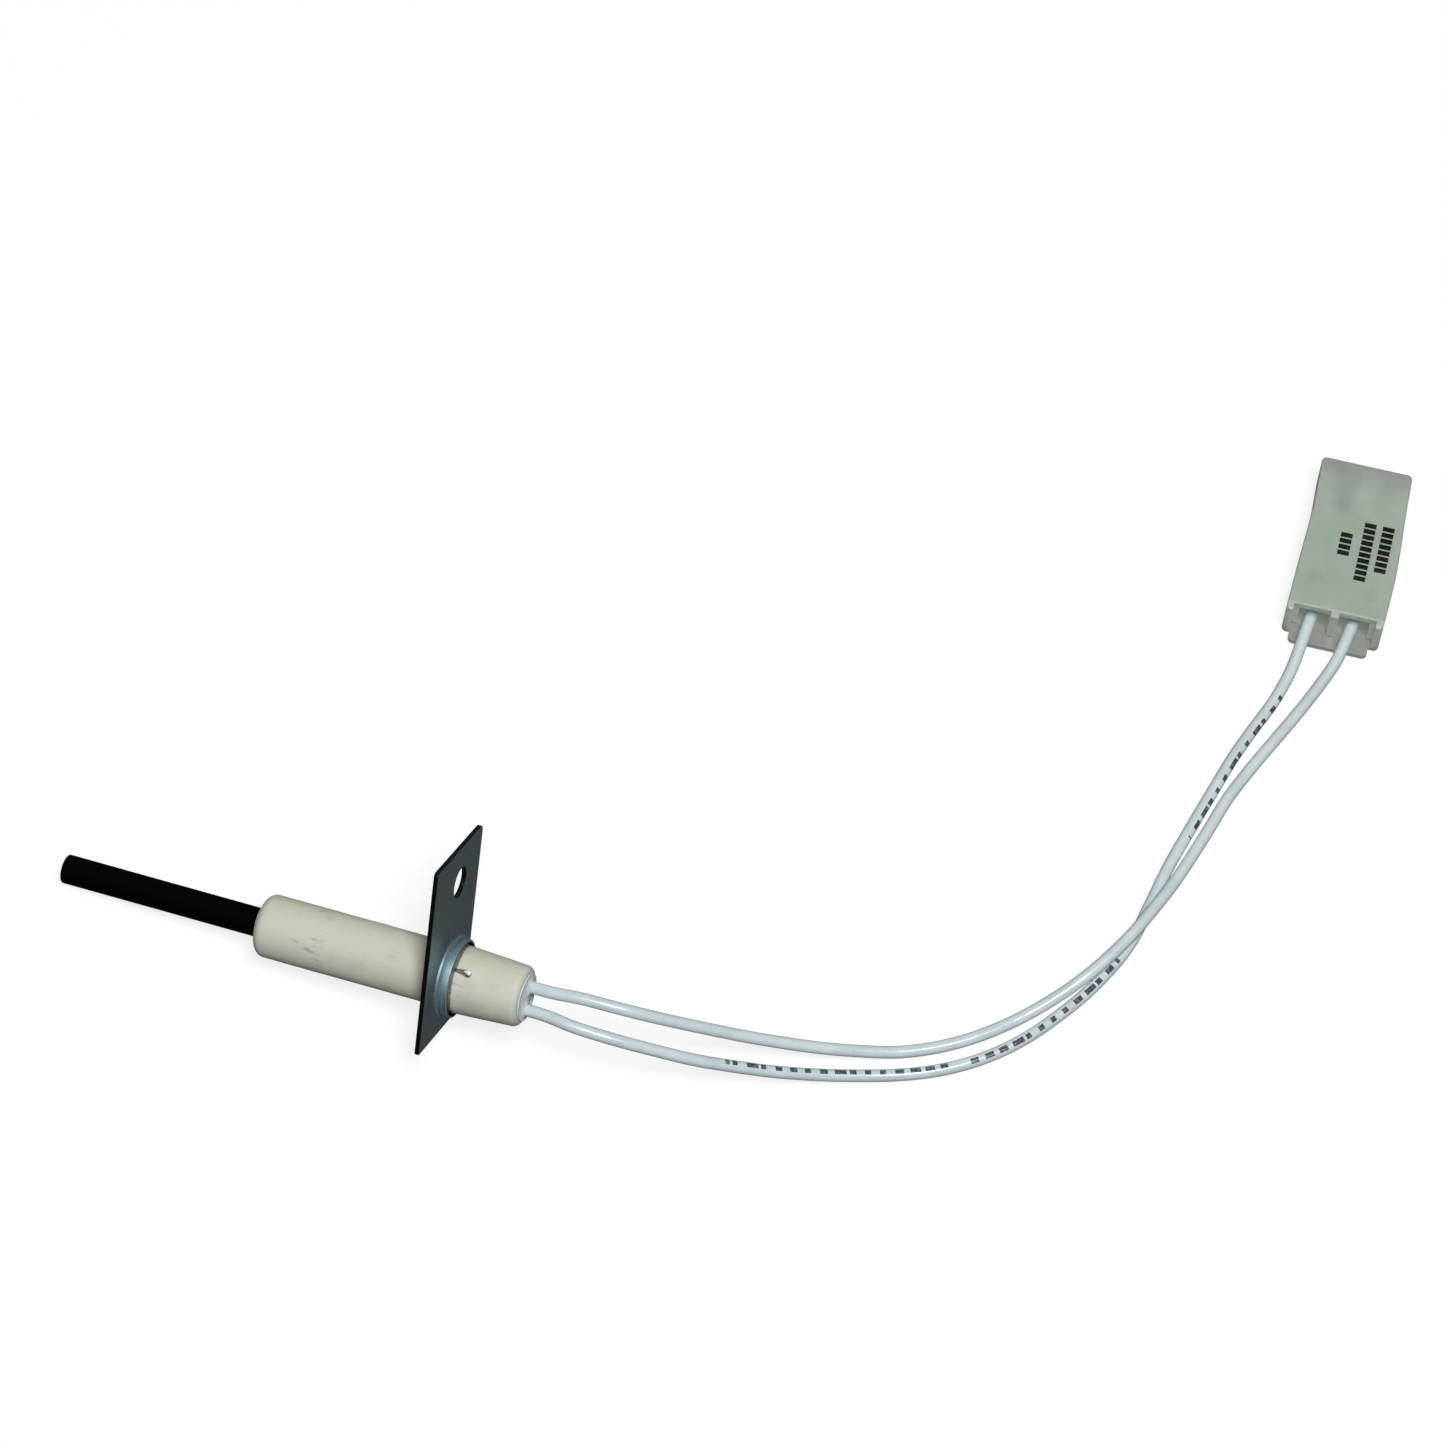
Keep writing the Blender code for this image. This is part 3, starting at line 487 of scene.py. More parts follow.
def dark_zinc():
    """Dark passivated zinc: satin plate, brighter burnished collar, near-black sheared edges and painted
    shade darkening the collar's mouth.
    """
    look = Look("dark_zinc_plated", (0.20, 0.25, 0.27), 0.42, metallic=0.9, specular=0.3)
    x, y, z = look.axes()
    radius = look.radius(x, y)
    mottle = look.noise(0.7 * MM, detail=5.0, rough=0.65)
    colour = look.mix(look.span(mottle, 0.3, 0.7), (0.165, 0.215, 0.23), (0.225, 0.285, 0.30))
    lines = look.noise(1.2 * MM, (0.25, 0.25, 9.0), detail=4.0, rough=0.6)
    burnished = look.mix(look.span(lines, 0.3, 0.7), (0.17, 0.27, 0.30), (0.34, 0.47, 0.51))
    near = look.span(radius, COLLAR_OUTER + 0.12 * MM, COLLAR_OUTER + 1.1 * MM, 1.0, 0.0)
    collar = look.times(near, look.span(z, *COLLAR_RISE))
    colour = look.mix(collar, colour, burnished)
    sheared = look.times(look.band(z, *SHEARED_SIDES, 0.04 * MM), look.span(radius, 6.4 * MM, 7.0 * MM))
    hole_x, hole_y = SCREW_HOLE_AT
    bore = look.radius(look.minus(x, hole_x), look.minus(y, hole_y))
    punched = look.span(bore, SCREW_HOLE_RADIUS + 0.03 * MM, SCREW_HOLE_RADIUS + 0.16 * MM, 1.0, 0.0)
    # painted shade: the collar's mouth and bore darkened towards near black
    mouth = look.span(radius, COLLAR_INNER + 0.08 * MM, COLLAR_INNER + 0.22 * MM, 1.0, 0.0)
    dark = look.most(sheared, look.most(punched, mouth))
    look.set("Base Color", look.mix(dark, colour, (0.012, 0.013, 0.014)))
    uneven = look.plus(mottle, look.times(lines, 0.5))
    satin = look.span(uneven, 0.4, 1.1, 0.36, 0.5)
    look.set("Roughness", look.plus(satin, look.times(near, 0.17)))
    look.bump(look.plus(look.times(mottle, 0.5), look.times(lines, collar)), 0.3, 0.02 * MM)
    return look.material


def ptfe(name, marked):
    """Waxy white insulation; the marked lead has a row of short printed dashes on three stretches."""
    look = Look(name, (0.58, 0.64, 0.66), 0.2, specular=0.6)
    clouds = look.noise(5.0 * MM)
    colour = look.mix(look.span(clouds, 0.35, 0.65), (0.525, 0.605, 0.620), (0.585, 0.660, 0.675))
    if marked:
        colour = look.mix(printed_dashes(look), colour, (0.03, 0.05, 0.06))
    look.set("Base Color", colour)
    look.set("Roughness", look.span(look.noise(1.5 * MM), 0.3, 0.7, 0.18, 0.30))
    look.bump(look.noise(2.5 * MM, detail=1.0), 0.12, 0.05 * MM)
    return look.material


def printed_dashes(look):
    """Dashes of chance lengths, each stretch of them facing its own way round the lead."""
    along = look.node("Attribute", {}, attribute_name="along").outputs["Fac"]
    turned = look.node("Attribute", {}, attribute_name="turn").outputs["Vector"]
    cells = look.maths("DIVIDE", along, DASH_PITCH)
    cell = {"W": look.maths("FLOOR", cells)}
    chance = look.node("TexWhiteNoise", cell, noise_dimensions="1D").outputs["Value"]
    dash = look.maths("LESS_THAN", look.maths("FRACT", cells), look.span(chance, 0.0, 1.0, *DASH_SHARES))
    ink = 0.0
    for start, end, degrees in MARKED_STRETCHES:
        angle = math.radians(degrees)
        sides = {0: turned, 1: (math.cos(angle), math.sin(angle), 0.0)}
        facing = look.node("VectorMath", sides, operation="DOT_PRODUCT").outputs["Value"]
        strip = look.times(look.span(facing, 0.885, 0.905), look.band(along, start, end, 0.1 * MM))
        ink = look.plus(ink, strip)
    worn = look.span(look.noise(0.5 * MM), 0.3, 0.55, 0.75, 0.98)
    return look.times(ink, dash, worn)


def natural_nylon():
    """Milky green-grey nylon: painted shade over the hollows, the crimps and towards the bottom, painted
    light over the divider, a painted highlight on the roof's lip, a painted glow through its walls, and plain
    ink bars on its top face.
    """
    look = Look("natural_nylon_moulded", (0.34, 0.38, 0.34), 0.42, specular=0.45)
    look.set("IOR", 1.53)
    x, y, z = look.axes()
    # painted glow: the nylon's emission colour
    look.set("Emission Color", (0.82, 0.86, 0.78, 1.0))
    look.set("Subsurface Radius", (1.0, 1.1, 0.95))
    look.set("Subsurface Scale", 2.6 * MM)
    clouds = look.noise(4.0 * MM, detail=4.0)
    colour = look.mix(look.span(clouds, 0.3, 0.7), (0.280, 0.342, 0.285), (0.312, 0.358, 0.308))
    colour = look.mix(look.span(y, *MATING_END, 0.0, 0.7), colour, (0.205, 0.200, 0.200))
    # painted shade: darker towards the bottom
    colour = look.mix(look.span(z, *SHADED_BOTTOM), colour, (0.125, 0.122, 0.118))
    # painted shade over the hollows and the crimps
    for low_x, high_x, low_y, high_y, depth in SHADED_HOLLOWS:
        zone = look.times(look.band(x, low_x, high_x, MM), look.band(y, low_y, high_y, 1.4 * MM))
        colour = look.mix(look.times(zone, depth), colour, (0.19, 0.22, 0.21))
    for at_x, at_y in CLASP_SHADES:
        away = look.radius(look.minus(x, at_x), look.minus(y, at_y))
        colour = look.mix(look.span(away, 0.2 * MM, 1.9 * MM, 0.5, 0.0), colour, (0.23, 0.24, 0.20))
    # painted light: lighter over the solid divider between the hollows
    divider = look.times(look.band(y, *DIVIDER_ALONG, 0.8 * MM), look.band(x, *DIVIDER_ACROSS, 0.4 * MM))
    colour = look.mix(look.times(divider, 0.18), colour, (0.40, 0.42, 0.39))
    # painted highlight along the roof's lip
    lip_highlight = look.times(look.span(y, *LIP_ALONG), look.span(z, *LIP_UP))
    colour = look.mix(look.times(lip_highlight, 0.5), colour, (0.46, 0.48, 0.42))
    ink = look.times(ink_bars(look, x, y), look.span(z, *TOP_FACE))
    ink = look.times(ink, look.span(look.noise(0.25 * MM, detail=2.0), 0.3, 0.5, 0.9, 1.0))
    bare = look.minus(1.0, ink)
    look.set("Subsurface Weight", look.times(bare, 0.8))
    # painted glow over the whole housing, stronger inside the wire mouths
    mouth = look.times(look.span(y, *MOUTH_ALONG), look.span(z, *MOUTH_DOWN))
    glow = look.plus(PAINTED_WALL_GLOW, look.times(mouth, PAINTED_MOUTH_GLOW))
    look.set("Emission Strength", look.times(bare, glow))
    look.set("Base Color", look.mix(ink, colour, (0.001, 0.0015, 0.001)))
    moulded = look.span(clouds, 0.3, 0.7, 0.36, 0.5)
    look.set("Roughness", look.minus(moulded, look.times(ink, INK_SMOOTHNESS)))
    look.bump(look.noise(0.35 * MM, detail=3.0), 0.2, 0.03 * MM)
    return look.material


def ink_bars(look, x, y):
    """Plain bars in three rows."""
    ink = 0.0
    for row_x, start, end in INK_ROWS:
        cells = look.maths("DIVIDE", look.minus(y, start), INK_PITCH)
        bars = look.maths("LESS_THAN", look.maths("FRACT", cells), INK_SHARE)
        row = look.times(look.band(x, row_x - INK_HALF, row_x + INK_HALF, 0.04 * MM), bars)
        ink = look.plus(ink, look.times(row, look.band(y, end, start, 0.02 * MM)))
    return ink


def cement(name, colour):
    look = Look(name, colour, 0.8, specular=0.25)
    grain = look.noise(0.3 * MM, detail=4.0, rough=0.6)
    shade = tuple(0.82 * channel for channel in colour)
    look.set("Base Color", look.mix(look.span(grain, 0.35, 0.65), shade, colour))
    look.bump(grain, 0.5, 0.06 * MM)
    return look.material


def glassy_bead():
    look = Look("set_bead_glaze", (0.80, 0.81, 0.76), 0.12, specular=0.7)
    look.set("Coat Weight", 0.6)
    clouds = look.noise(0.5 * MM)
    look.set("Base Color", look.mix(look.span(clouds, 0.3, 0.7), (0.70, 0.71, 0.64), (0.88, 0.89, 0.85)))
    return look.material


def drawn_metal(name, dark, bright, size, scale, rough):
    """Metal with fine lines drawn one way and a little tarnish."""
    look = Look(name, bright, rough, metallic=1.0)
    lines = look.noise(size, scale, detail=4.0, rough=0.6)
    tarnish = look.noise(2.2 * MM)
    colour = look.mix(look.span(lines, 0.3, 0.7), dark, bright)
    look.set("Base Color", look.mix(look.span(tarnish, 0.5, 0.75, 0.0, 0.5), colour, dark))
    look.set("Roughness", look.span(tarnish, 0.3, 0.7, rough - 0.08, rough + 0.12))
    look.bump(lines, 0.3, 0.02 * MM)
    return look.material


# ---------------------------------------------------------------- mesh building

def arc(centre, radius, start, end, steps=8):
    """Points of a round edge, from one angle in degrees to another."""
    points = []
    for step in range(steps + 1):
        angle = math.radians(start + (end - start) * step / steps)
        points.append((centre[0] + radius * math.cos(angle), centre[1] + radius * math.sin(angle)))
    return points


def stretch(start, end, pitch):
    """Points between two ends, neither of them included, about one pitch apart."""
    count = max(1, round(math.dist(start, end) / pitch))
    return [tuple(a + (b - a) * step / count for a, b in zip(start, end)) for step in range(1, count)]


def rounded_corners(corners, steps=8):
    """An outline whose corners are cut by arcs. Each corner is (x, y, radius), listed anticlockwise."""
    points = []
    count = len(corners)
    for index, (x, y, radius) in enumerate(corners):
        here = Vector((x, y))
        back = (Vector(corners[index - 1][:2]) - here).normalized()
        on = (Vector(corners[(index + 1) % count][:2]) - here).normalized()
        if radius == 0.0:
            points.append((x, y))
            continue
        reach = radius / math.tan(back.angle(on) / 2)
        handle = reach * QUARTER_HANDLE
        start = here + back * reach
        end = here + on * reach
        for point in interpolate_bezier(start, start - back * handle, end - on * handle, end, steps + 1):
            points.append((point.x, point.y))
    return points


def quarter_round(edge, angles=(90, 68, 45, 22, 0)):
    """The steps of a rounded rim, as (distance drawn in, distance from the face)."""
    leans = [math.radians(angle) for angle in angles]
    return [(edge * (1 - math.cos(lean)), edge * (1 - math.sin(lean))) for lean in leans]


def skin(name, rings, closed):
    """A mesh over rings with the same number of points; an open stack is shut by a face at each end."""
    bm = bmesh.new()
    rows = [[bm.verts.new(point) for point in ring] for ring in rings]
    for row, following in zip(rows, rows[1:] + rows[:1] if closed else rows[1:]):
        for index in range(len(row)):
            on = (index + 1) % len(row)
            bm.faces.new((row[index], row[on], following[on], following[index]))
    if not closed:
        bm.faces.new(rows[0])
        bm.faces.new(rows[-1])
    bmesh.ops.recalc_face_normals(bm, faces=bm.faces)
    mesh = bpy.data.meshes.new(name)
    bm.to_mesh(mesh)
    bm.free()
    return mesh


def circle(radius, z, at=(0.0, 0.0), steps=ROUND_STEPS):
    angles = [2 * math.pi * step / steps for step in range(steps)]
    return [(at[0] + radius * math.cos(a), at[1] + radius * math.sin(a), z) for a in angles]


def lathe(name, profile, closed=True, at=(0.0, 0.0), steps=ROUND_STEPS):
    return skin(name, [circle(radius, z, at, steps) for radius, z in profile], closed)


def prism(name, points, low, high):
    return skin(name, [[(x, y, z) for x, y in points] for z in (low, high)], closed=False)


def smooth(mesh, angle=35):
    mesh.shade_smooth()
    mesh.set_sharp_from_angle(angle=math.radians(angle))


def roughen(mesh, amount, size):
    """A slight unevenness of the whole surface."""
    for vertex in mesh.vertices:
        vertex.co += vertex.normal * noise.noise(vertex.co / size) * amount


def carved(mesh, steps, sharp=35, edge=0.0):
    """The mesh after a row of Boolean steps (operation, other mesh), with its new edges rounded."""
    scratch = bpy.data.objects.new("scratch", mesh)
    helpers = []
    for operation, other in steps:
        helper = bpy.data.objects.new("scratch_tool", other)
        helpers.append(helper)
        modifier = scratch.modifiers.new("Boolean", "BOOLEAN")
        modifier.operation = operation
        modifier.solver = "EXACT"
        modifier.object = helper
    if edge:
        modifier = scratch.modifiers.new("Bevel", "BEVEL")
        modifier.width = edge
        modifier.segments = 2
        modifier.limit_method = "ANGLE"
        modifier.angle_limit = math.radians(50)
    for item in (scratch, *helpers):
        bpy.context.scene.collection.objects.link(item)
    bpy.context.view_layer.update()
    made = bpy.data.meshes.new_from_object(scratch.evaluated_get(bpy.context.evaluated_depsgraph_get()))
    made.name = mesh.name
    for item in (scratch, *helpers):
        bpy.data.objects.remove(item, do_unlink=True)
    smooth(made, sharp)
    for polygon in made.polygons:
        if polygon.area > FLAT_AREA:
            polygon.use_smooth = False
    return made


def add_piece(name, mesh, place, material, node):
    """A finished mesh that rides on the part's body and stands for one CAD node."""
    piece = bpy.data.objects.new(name, mesh)
    bpy.context.scene.collection.objects.link(piece)
    piece.matrix_world = place
    mesh.materials.clear()
    mesh.materials.append(material)
    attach(piece, "root")
    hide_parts(node)
    return piece


# ---------------------------------------------------------------- leads

def smooth_route(route, spacing):
    """Evenly spaced points on a Catmull-Rom curve through a route."""
    knots = [Vector(point) for point in route]
    knots = [knots[0] * 2 - knots[1]] + knots + [knots[-1] * 2 - knots[-2]]
    fine = []
    for a, b, c, d in zip(knots, knots[1:], knots[2:], knots[3:]):
        for step in range(LEAD_SUBSTEPS):
            t = step / LEAD_SUBSTEPS
            fine.append(0.5 * (2 * b + (c - a) * t + (2 * a - 5 * b + 4 * c - d) * t ** 2
                               + (3 * b - 3 * c + d - a) * t ** 3))
    fine.append(knots[-2])
    for point in fine:
        point.z = max(point.z, LEAD_RADIUS)
    lengths = [0.0]
    for a, b in zip(fine, fine[1:]):
        lengths.append(lengths[-1] + (b - a).length)
    count = round(lengths[-1] / spacing)
    points = []
    index = 0
    for step in range(count + 1):
        target = lengths[-1] * step / count
        while index < len(fine) - 2 and lengths[index + 1] < target:
            index += 1
        share = (target - lengths[index]) / (lengths[index + 1] - lengths[index])
        points.append(fine[index].lerp(fine[index + 1], share))
    return points, lengths[-1]


def make_lead(name, node, route, material):
    """A round tube along its route, with the distance along it and the way each side faces as attributes."""
    line, length = smooth_route(route, LEAD_RING_SPACING)
    rings = []
    along = []
    across = []
    for index, point in enumerate(line):
        forward = (line[min(index + 1, len(line) - 1)] - line[max(index - 1, 0)]).normalized()
        right = forward.cross(Vector((0, 0, 1))).normalized()
        top = right.cross(forward)
        ring = []
        for side in range(LEAD_SIDES):
            angle = 2 * math.pi * side / LEAD_SIDES
            ring.append(point + (top * math.cos(angle) + right * math.sin(angle)) * LEAD_RADIUS)
            along.append(length * index / (len(line) - 1))
            across.extend((math.cos(angle), math.sin(angle), 0.0))
        rings.append(ring)
    mesh = skin(name, rings, closed=False)
    mesh.attributes.new("along", "FLOAT", "POINT").data.foreach_set("value", along)
    mesh.attributes.new("turn", "FLOAT_VECTOR", "POINT").data.foreach_set("vector", across)
    smooth(mesh, 50)
    lead = add_piece(name, mesh, Matrix.Identity(4), material, node)
    return lead, line, length


def make_leads():
    ends = (("upper", UPPER_ROUTE, UPPER_EXIT, "terminal_right", False),
            ("lower", LOWER_ROUTE, LOWER_EXIT, "terminal_left", True))
    for side, route, exit_point, terminal, marked in ends:
        material = ptfe("ptfe_" + side, marked)
        lead, line, length = make_lead("lead_" + side + "_cord", "lead_" + side, route, material)


# ---------------------------------------------------------------- igniter

def make_rod():
    edge = arc((ROD_RADIUS - ROD_TIP_EDGE, ROD_TIP + ROD_TIP_EDGE), ROD_TIP_EDGE, 0, -90)
    start = (ROD_RADIUS, ROD_INNER_END - ROD_INNER_EDGE)
    profile = [(ROD_RADIUS - ROD_INNER_EDGE, ROD_INNER_END), start]
    profile += stretch(start, edge[0], ROD_RING_SPACING) + edge
    mesh = lathe("rod_body", profile, closed=False)
    roughen(mesh, *ROD_UNEVENNESS)
    smooth(mesh)
    add_piece("rod_body", mesh, IGNITER, silicon_nitride(), "heater_rod")


def slit_frame():
    """X along the igniter's axis, Y round the holder and Z into it, from the slit's narrow end."""
    upright = Matrix(((0, 0, -1, 0), (0, 1, 0, 0), (1, 0, 0, 0), (0, 0, 0, 1)))
    start = Matrix.Translation((SHOULDER_RADIUS, 0.0, SLIT_START))
    return Matrix.Rotation(SLIT_TURN, 4, "Z") @ start @ upright


def slit_cutter():
    """A slit that widens from the collar into a small rounded pocket."""
    under_collar = -0.3 * MM
    points = [(under_collar, -SLIT_HALF), (0.4 * MM, -SLIT_MOUTH_HALF)]
    points += arc((SLIT_LENGTH + 0.5 * MM, 0.06 * MM), POCKET_RADIUS, -130, 140, steps=18)
    points += [(0.5 * MM, SLIT_MOUTH_HALF), (under_collar, SLIT_HALF)]
    mesh = prism("slit", points, -SLIT_DEPTH, SLIT_DEPTH)
    mesh.transform(slit_frame())
    return mesh


def make_sleeve():
    """Bore, rounded rear end, taper, seat in the collar, shoulder, plain body and rounded front end."""
    rear = arc((REAR_RADIUS - REAR_EDGE, SLEEVE_REAR - REAR_EDGE), REAR_EDGE, 95, 4, steps=12)
    front_centre = (SLEEVE_RADIUS - SLEEVE_FRONT_EDGE, SLEEVE_FRONT + SLEEVE_FRONT_EDGE)
    front = arc(front_centre, SLEEVE_FRONT_EDGE, 0, -88, steps=14)
    neck = (NECK_RADIUS, COLLAR_HEIGHT)
    seat = COLLAR_INNER - GLUED
    body = (SLEEVE_RADIUS, SHOULDER_START)
    profile = [(BORE_RADIUS, ROD_INNER_END), (BORE_RADIUS, SLEEVE_REAR - BORE_MOUTH)] + rear
    profile += stretch(rear[-1], neck, NECK_RING_SPACING) + [neck, (NECK_RADIUS + GLUED, NECK_FOOT)]
    profile += [(seat, SEAT_HIGH), (seat, SEAT_LOW), (SHOULDER_RADIUS, -SHEET)]
    profile += [(SHOULDER_RADIUS, SHOULDER_START), body]
    profile += stretch(body, front[0], BODY_RING_SPACING) + front
    profile += [(FRONT_BORE_RADIUS + BORE_MOUTH, SLEEVE_FRONT)]
    profile += [(FRONT_BORE_RADIUS, SLEEVE_FRONT + BORE_MOUTH), (FRONT_BORE_RADIUS, ROD_INNER_END)]
    mesh = lathe("holder_body", profile)
    roughen(mesh, *SLEEVE_UNEVENNESS)
    mesh = carved(mesh, [("DIFFERENCE", slit_cutter())])
    add_piece("holder_body", mesh, IGNITER, ceramic(), "ceramic_holder")


def make_bead():
    """A drop of glaze with a tail that runs back into the slit."""
    half_x, half_y, half_z = BEAD_HALF_SIZE_MM
    bm = bmesh.new()
    bmesh.ops.create_uvsphere(bm, u_segments=40, v_segments=24, radius=1.0)
    for vertex in bm.verts:
        x, y, z = vertex.co
        tail = max(0.0, -x)
        waist = 1.0 - 0.72 * tail ** 1.4
        sag = 0.12 * noise.noise(vertex.co * 1.3)
        drawn = x * (1.0 + 0.6 * tail)
        vertex.co = ((drawn + sag) * half_x * MM, (y * waist + sag) * half_y * MM, z * waist * half_z * MM)
    mesh = bpy.data.meshes.new("bead_drop")
    bm.to_mesh(mesh)
    bm.free()
    mesh.shade_smooth()
    place = IGNITER @ slit_frame() @ Matrix.Translation(BEAD_AT)
    add_piece("bead_drop", mesh, place, glassy_bead(), "locking_dab")


def make_cement(name, node, outer, holes, face, out, depth, material):
    """A cement fill that climbs the wall round it and what passes through it. Holes are (x, y, radius)."""
    def height(x, y):
        climb, reach = WALL_CLIMB
        rise = climb * math.exp((math.hypot(x, y) - outer) / reach)
        climb, reach = LEAD_CLIMB
        for hole_x, hole_y, radius in holes:
            gap = max(0.0, math.hypot(x - hole_x, y - hole_y) - radius)
            rise += climb * math.exp(-gap / reach)
        ripple, size = CEMENT_RIPPLE
        return rise + ripple * noise.noise(Vector((x, y, 0.0)) / size)

    rings = [circle(outer, face - out * depth)]
    shares = [step / CEMENT_RINGS for step in range(CEMENT_RINGS, 0, -1)] + [0.01]
    for share in shares:
        rings.append([(x, y, face + out * height(x, y)) for x, y, z in circle(outer * share, 0.0)])
    mesh = skin(name, rings, closed=False)
    cuts = []
    for hole_x, hole_y, radius in holes:
        levels = (face - 2 * depth, face + 2 * depth)
        ends = [circle(radius + GLUED, z, (hole_x, hole_y), 64) for z in levels]
        cuts.append(("DIFFERENCE", skin("hole", ends, closed=False)))
    mesh = carved(mesh, cuts, sharp=60)
    add_piece(name, mesh, IGNITER, material, node)


def make_cements():
    leads = [(UPPER_EXIT.x, UPPER_EXIT.y, LEAD_RADIUS), (LOWER_EXIT.x, LOWER_EXIT.y, LEAD_RADIUS)]
    white = cement("cement_white", (0.64, 0.69, 0.72))
    grey = cement("cement_grey", (0.50, 0.52, 0.52))
    make_cement("cement_rear", "rear_cement", BORE_RADIUS - GLUED, leads,
                REAR_CEMENT_FACE, 1, REAR_CEMENT_DEPTH, white)
    make_cement("cement_front", "front_cement", FRONT_BORE_RADIUS - GLUED, [(0.0, 0.0, ROD_RADIUS)],
                FRONT_CEMENT_FACE, -1, FRONT_CEMENT_DEPTH, grey)


def plate_rim(inset):
    """The plate's outline, drawn in by an inset, with points close enough for round inner rings."""
    corners = [
        (-PLATE_BOTTOM + inset, -PLATE_LOW_SIDE + inset, PLATE_CORNER - inset),
        (PLATE_TOP - inset, -PLATE_LOW_SIDE + inset, PLATE_TOP_CORNER - inset),
        (PLATE_TOP - inset, PLATE_HIGH_SIDE - inset, PLATE_CORNER - inset),
        (-PLATE_BOTTOM + inset, PLATE_HIGH_SIDE - inset, PLATE_TIP_CORNER - inset),
    ]
    steps = 8
    outline = rounded_corners(corners, steps)
    points = []
    for index, point in enumerate(outline):
        points.append(point)
        if index % (steps + 1) == steps:
            following = outline[(index + 1) % len(outline)]
            span = math.dist(point, following)
            count = LONG_SIDE_STEPS if span > 20 * MM else SHORT_SIDE_STEPS
            points += stretch(point, following, span / count)
    return points


def collar_profile():
    """Points (radius, height) from the bore's entry over the collar's rim and down to its foot."""
    points = arc((COLLAR_INNER + COLLAR_ENTRY, -SHEET + COLLAR_ENTRY), COLLAR_ENTRY, 265, 180)
    points += [(COLLAR_INNER, 0.4 * MM), (COLLAR_INNER, 1.2 * MM)]
    mouth = (COLLAR_INNER + COLLAR_MOUTH_EDGE, COLLAR_HEIGHT - COLLAR_MOUTH_EDGE)
    points += arc(mouth, COLLAR_MOUTH_EDGE, 180, 95, steps=4)
    points += arc((COLLAR_OUTER - COLLAR_RIM_EDGE, COLLAR_HEIGHT - COLLAR_RIM_EDGE), COLLAR_RIM_EDGE, 85, 0)
    points += [(COLLAR_OUTER + out * MM, z * MM) for out, z in COLLAR_WAIST]
    points += arc(FOOT_CENTRE, FOOT_EDGE, 80, 10, steps=7)
    points += [(COLLAR_OUTER + out * MM, z * MM) for out, z in COLLAR_FOOT]
    return points


def make_bracket():
    """One sheet: bore entry, drawn collar with a foot ring, soft dish, plate with rolled rim, and back."""
    angles = [math.atan2(y, x) for x, y in plate_rim(0.0)]

    def round_ring(radius, z):
        return [(radius * math.cos(a), radius * math.sin(a), z) for a in angles]

    def rim_ring(inset, z):
        return [(x, y, z) for x, y in plate_rim(inset)]

    def between(share, z):
        outer = rim_ring(0.35 * MM, z)
        inner = round_ring(DISH_END, z)
        return [tuple(p + (q - p) * share for p, q in zip(a, b)) for a, b in zip(inner, outer)]

    rings = [round_ring(radius, z) for radius, z in collar_profile()]
    rings += [between(share, 0.0) for share in (0.0, 0.3, 0.65, 1.0)]
    rings += [rim_ring(inset, -drop) for inset, drop in quarter_round(ROLLED_EDGE)]
    rings += [rim_ring(inset, -SHEET + rise) for inset, rise in quarter_round(SHEARED_EDGE, (0, 30, 60, 90))]
    rings += [between(share, -SHEET) for share in (1.0, 0.5, 0.0)]
    mesh = skin("bracket_sheet", rings, closed=True)
    flank = SCREW_HOLE_RADIUS + HOLE_EDGE
    hole = [(flank, 2 * MM)] + arc((flank, -HOLE_EDGE), HOLE_EDGE, 100, 180, 5)
    hole += arc((flank, -SHEET + HOLE_EDGE), HOLE_EDGE, 180, 260, 5) + [(flank, -3 * MM)]
    cutter = lathe("hole", hole, closed=False, at=SCREW_HOLE_AT, steps=72)
    mesh = carved(mesh, [("DIFFERENCE", cutter)], sharp=45)
    add_piece("bracket_sheet", mesh, IGNITER, dark_zinc(), "mounting_bracket")


# ---------------------------------------------------------------- plug housing

def plug_side(sign):
    """One side of the housing, from the mating end to the wire end: a soft S, bowed a little to the right."""
    points = []
    steps = 36
    for step in range(steps + 1):
        y = -PLUG_LENGTH * step / steps
        flare = min(1.0, max(0.0, (-y - PLUG_FLARE_START) / (PLUG_FLARE_END - PLUG_FLARE_START)))
        ease = flare * flare * (3 - 2 * flare)
        half = PLUG_FRONT_HALF + (PLUG_REAR_HALF - PLUG_FRONT_HALF) * ease
        corner = PLUG_CORNER if step in (0, steps) else 0.0
        if corner or min(step, steps - step) > 1:
            points.append((sign * half + PLUG_BOW * math.sin(math.pi * step / steps), y, corner))
    return points


def plug_outline():
    return rounded_corners(plug_side(1)[::-1] + plug_side(-1), steps=6)


def inset_outline(points, depth):
    """An outline drawn in evenly by a depth."""
    moved = []
    count = len(points)
    for index, (x, y) in enumerate(points):
        before = Vector(points[index - 1])
        after = Vector(points[(index + 1) % count])
        along = (after - before).normalized()
        moved.append((x - along.y * depth, y + along.x * depth))
    return moved


def rounded_slab(name, points, low, high, edge):
    """A slab whose top and bottom rims are quarter rounds."""
    rings = []
    for inset, rise in quarter_round(edge):
        rings.append([(x, y, low + rise) for x, y in inset_outline(points, inset)])
    rings += [[(x, y, low + high - z) for x, y, z in ring] for ring in reversed(rings)]
    return skin(name, rings, closed=False)


def block(name, low, high, corner=0.0):
    """A box along Y with rounded long edges, between two opposite corners."""
    x_low, y_low, z_low = low
    x_high, y_high, z_high = high
    corners = [(x_low, z_low), (x_high, z_low), (x_high, z_high), (x_low, z_high)]
    section = rounded_corners([(x, z, corner) for x, z in corners], steps=5)
    return skin(name, [[(x, y, z) for x, z in section] for y in (y_low, y_high)], closed=False)


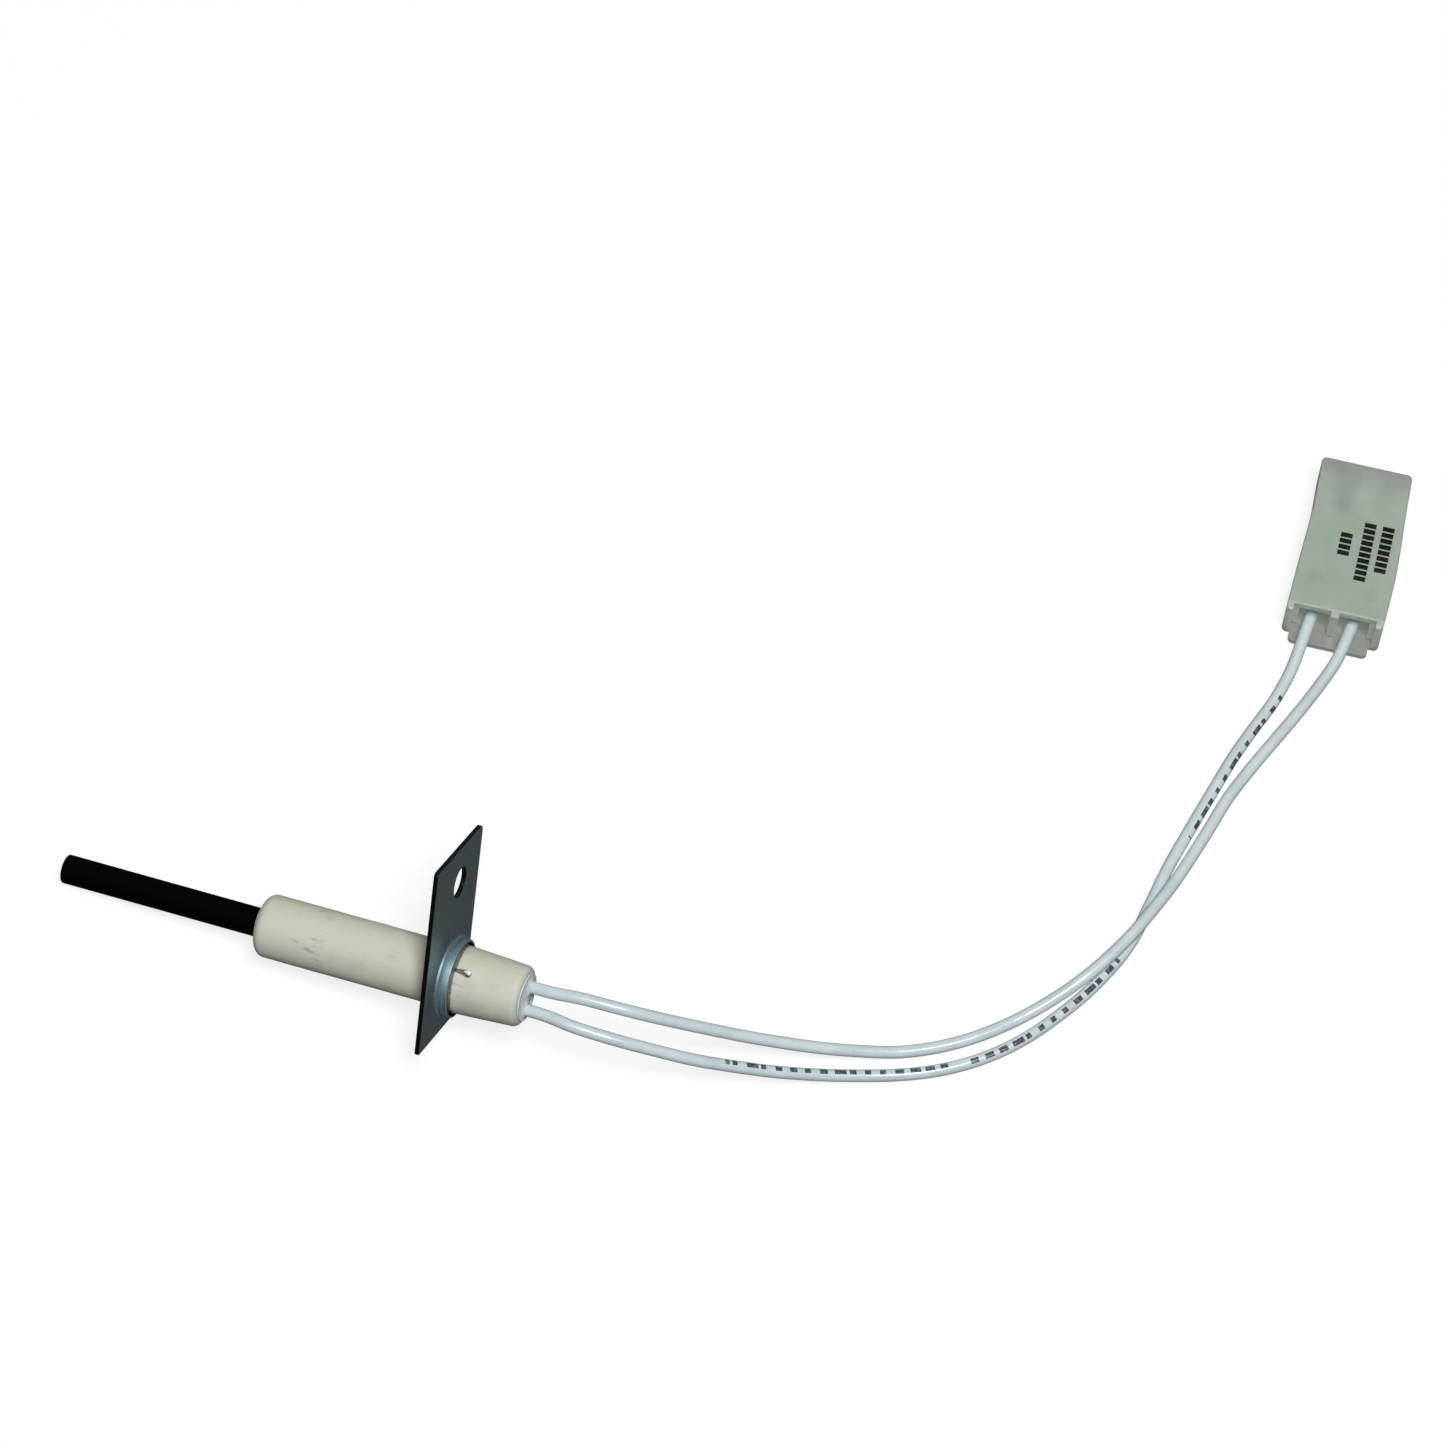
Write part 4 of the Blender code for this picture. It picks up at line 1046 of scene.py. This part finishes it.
def make_housing():
    """The body with its tongue joined on and its two cavities, wire mouths and divider's end cut out."""
    body = rounded_slab("plug_housing", plug_outline(), 0.0, PLUG_HEIGHT, PLUG_EDGE)
    tongue_corners = [
        (TONGUE_LEFT, -TONGUE_END, TONGUE_CORNER), (TONGUE_RIGHT, -TONGUE_END, TONGUE_CORNER),
        (TONGUE_RIGHT, -PLUG_ROOF_LENGTH, 0.0), (TONGUE_LEFT, -PLUG_ROOF_LENGTH, 0.0),
    ]
    tongue = rounded_corners(tongue_corners, steps=6)
    steps = [("UNION", prism("tongue", tongue, TONGUE_LIFT, TONGUE_LIFT + TONGUE_BLANK))]
    clear = 2 * PLUG_HEIGHT
    behind = -TONGUE_END - clear
    divider = CAVITY_CENTRE - CAVITY_WIDTH / 2
    side_wall = PLUG_REAR_HALF - PLUG_SIDE_WALL
    for side in (-1, 1):
        low_x = side * CAVITY_CENTRE - CAVITY_WIDTH / 2
        low = (low_x, behind, PLUG_WALL)
        high = (low_x + CAVITY_WIDTH, clear, PLUG_HEIGHT - PLUG_WALL)
        steps.append(("DIFFERENCE", block("cavity", low, high, CAVITY_CORNER)))
        low = (min(side * divider, side * side_wall), behind, TONGUE_TOP)
        high = (max(side * divider, side * side_wall), -PLUG_ROOF_LENGTH, clear)
        steps.append(("DIFFERENCE", block("mouth", low, high)))
    gap = divider + MM
    low = (-gap, behind, TONGUE_TOP + CLEARING_LIFT)
    high = (gap, -PLUG_DIVIDER_END, clear)
    steps.append(("DIFFERENCE", block("clearing", low, high)))
    mesh = carved(body, steps, sharp=30, edge=PLUG_CUT_EDGE)
    add_piece("plug_housing", mesh, PLUG, natural_nylon(), "connector_housing")


# ---------------------------------------------------------------- finishes of the CAD nodes that stay

def dress(names, material):
    for name in names:
        mesh = NODES[name].data
        mesh.materials.clear()
        mesh.materials.append(material)


def dress_nodes():
    brass = drawn_metal("tinned_brass_pressed", (0.34, 0.33, 0.29), (0.56, 0.55, 0.50),
                        size=0.8 * MM, scale=(0.3, 8.0, 1.0), rough=0.34)
    dress(("terminal_left", "terminal_right"), brass)
    nickel = drawn_metal("nickel_drawn", (0.42, 0.40, 0.36), (0.62, 0.60, 0.56),
                         size=0.8 * MM, scale=(6.0, 1.0, 1.0), rough=0.3)
    dress([name for name in NODES if name.startswith(("electrode_cap_", "splice_sleeve_"))], nickel)
    strand = drawn_metal("tinned_copper_strand", (0.38, 0.34, 0.31), (0.66, 0.63, 0.60),
                         size=0.5 * MM, scale=(1.0, 3.0, 6.0), rough=0.36)
    dress([name for name in NODES if name.startswith("conductor_")], strand)


make_camera()
make_floor()
make_light()
make_rod()
make_sleeve()
make_bead()
make_cements()
make_bracket()
make_housing()
make_leads()
dress_nodes()
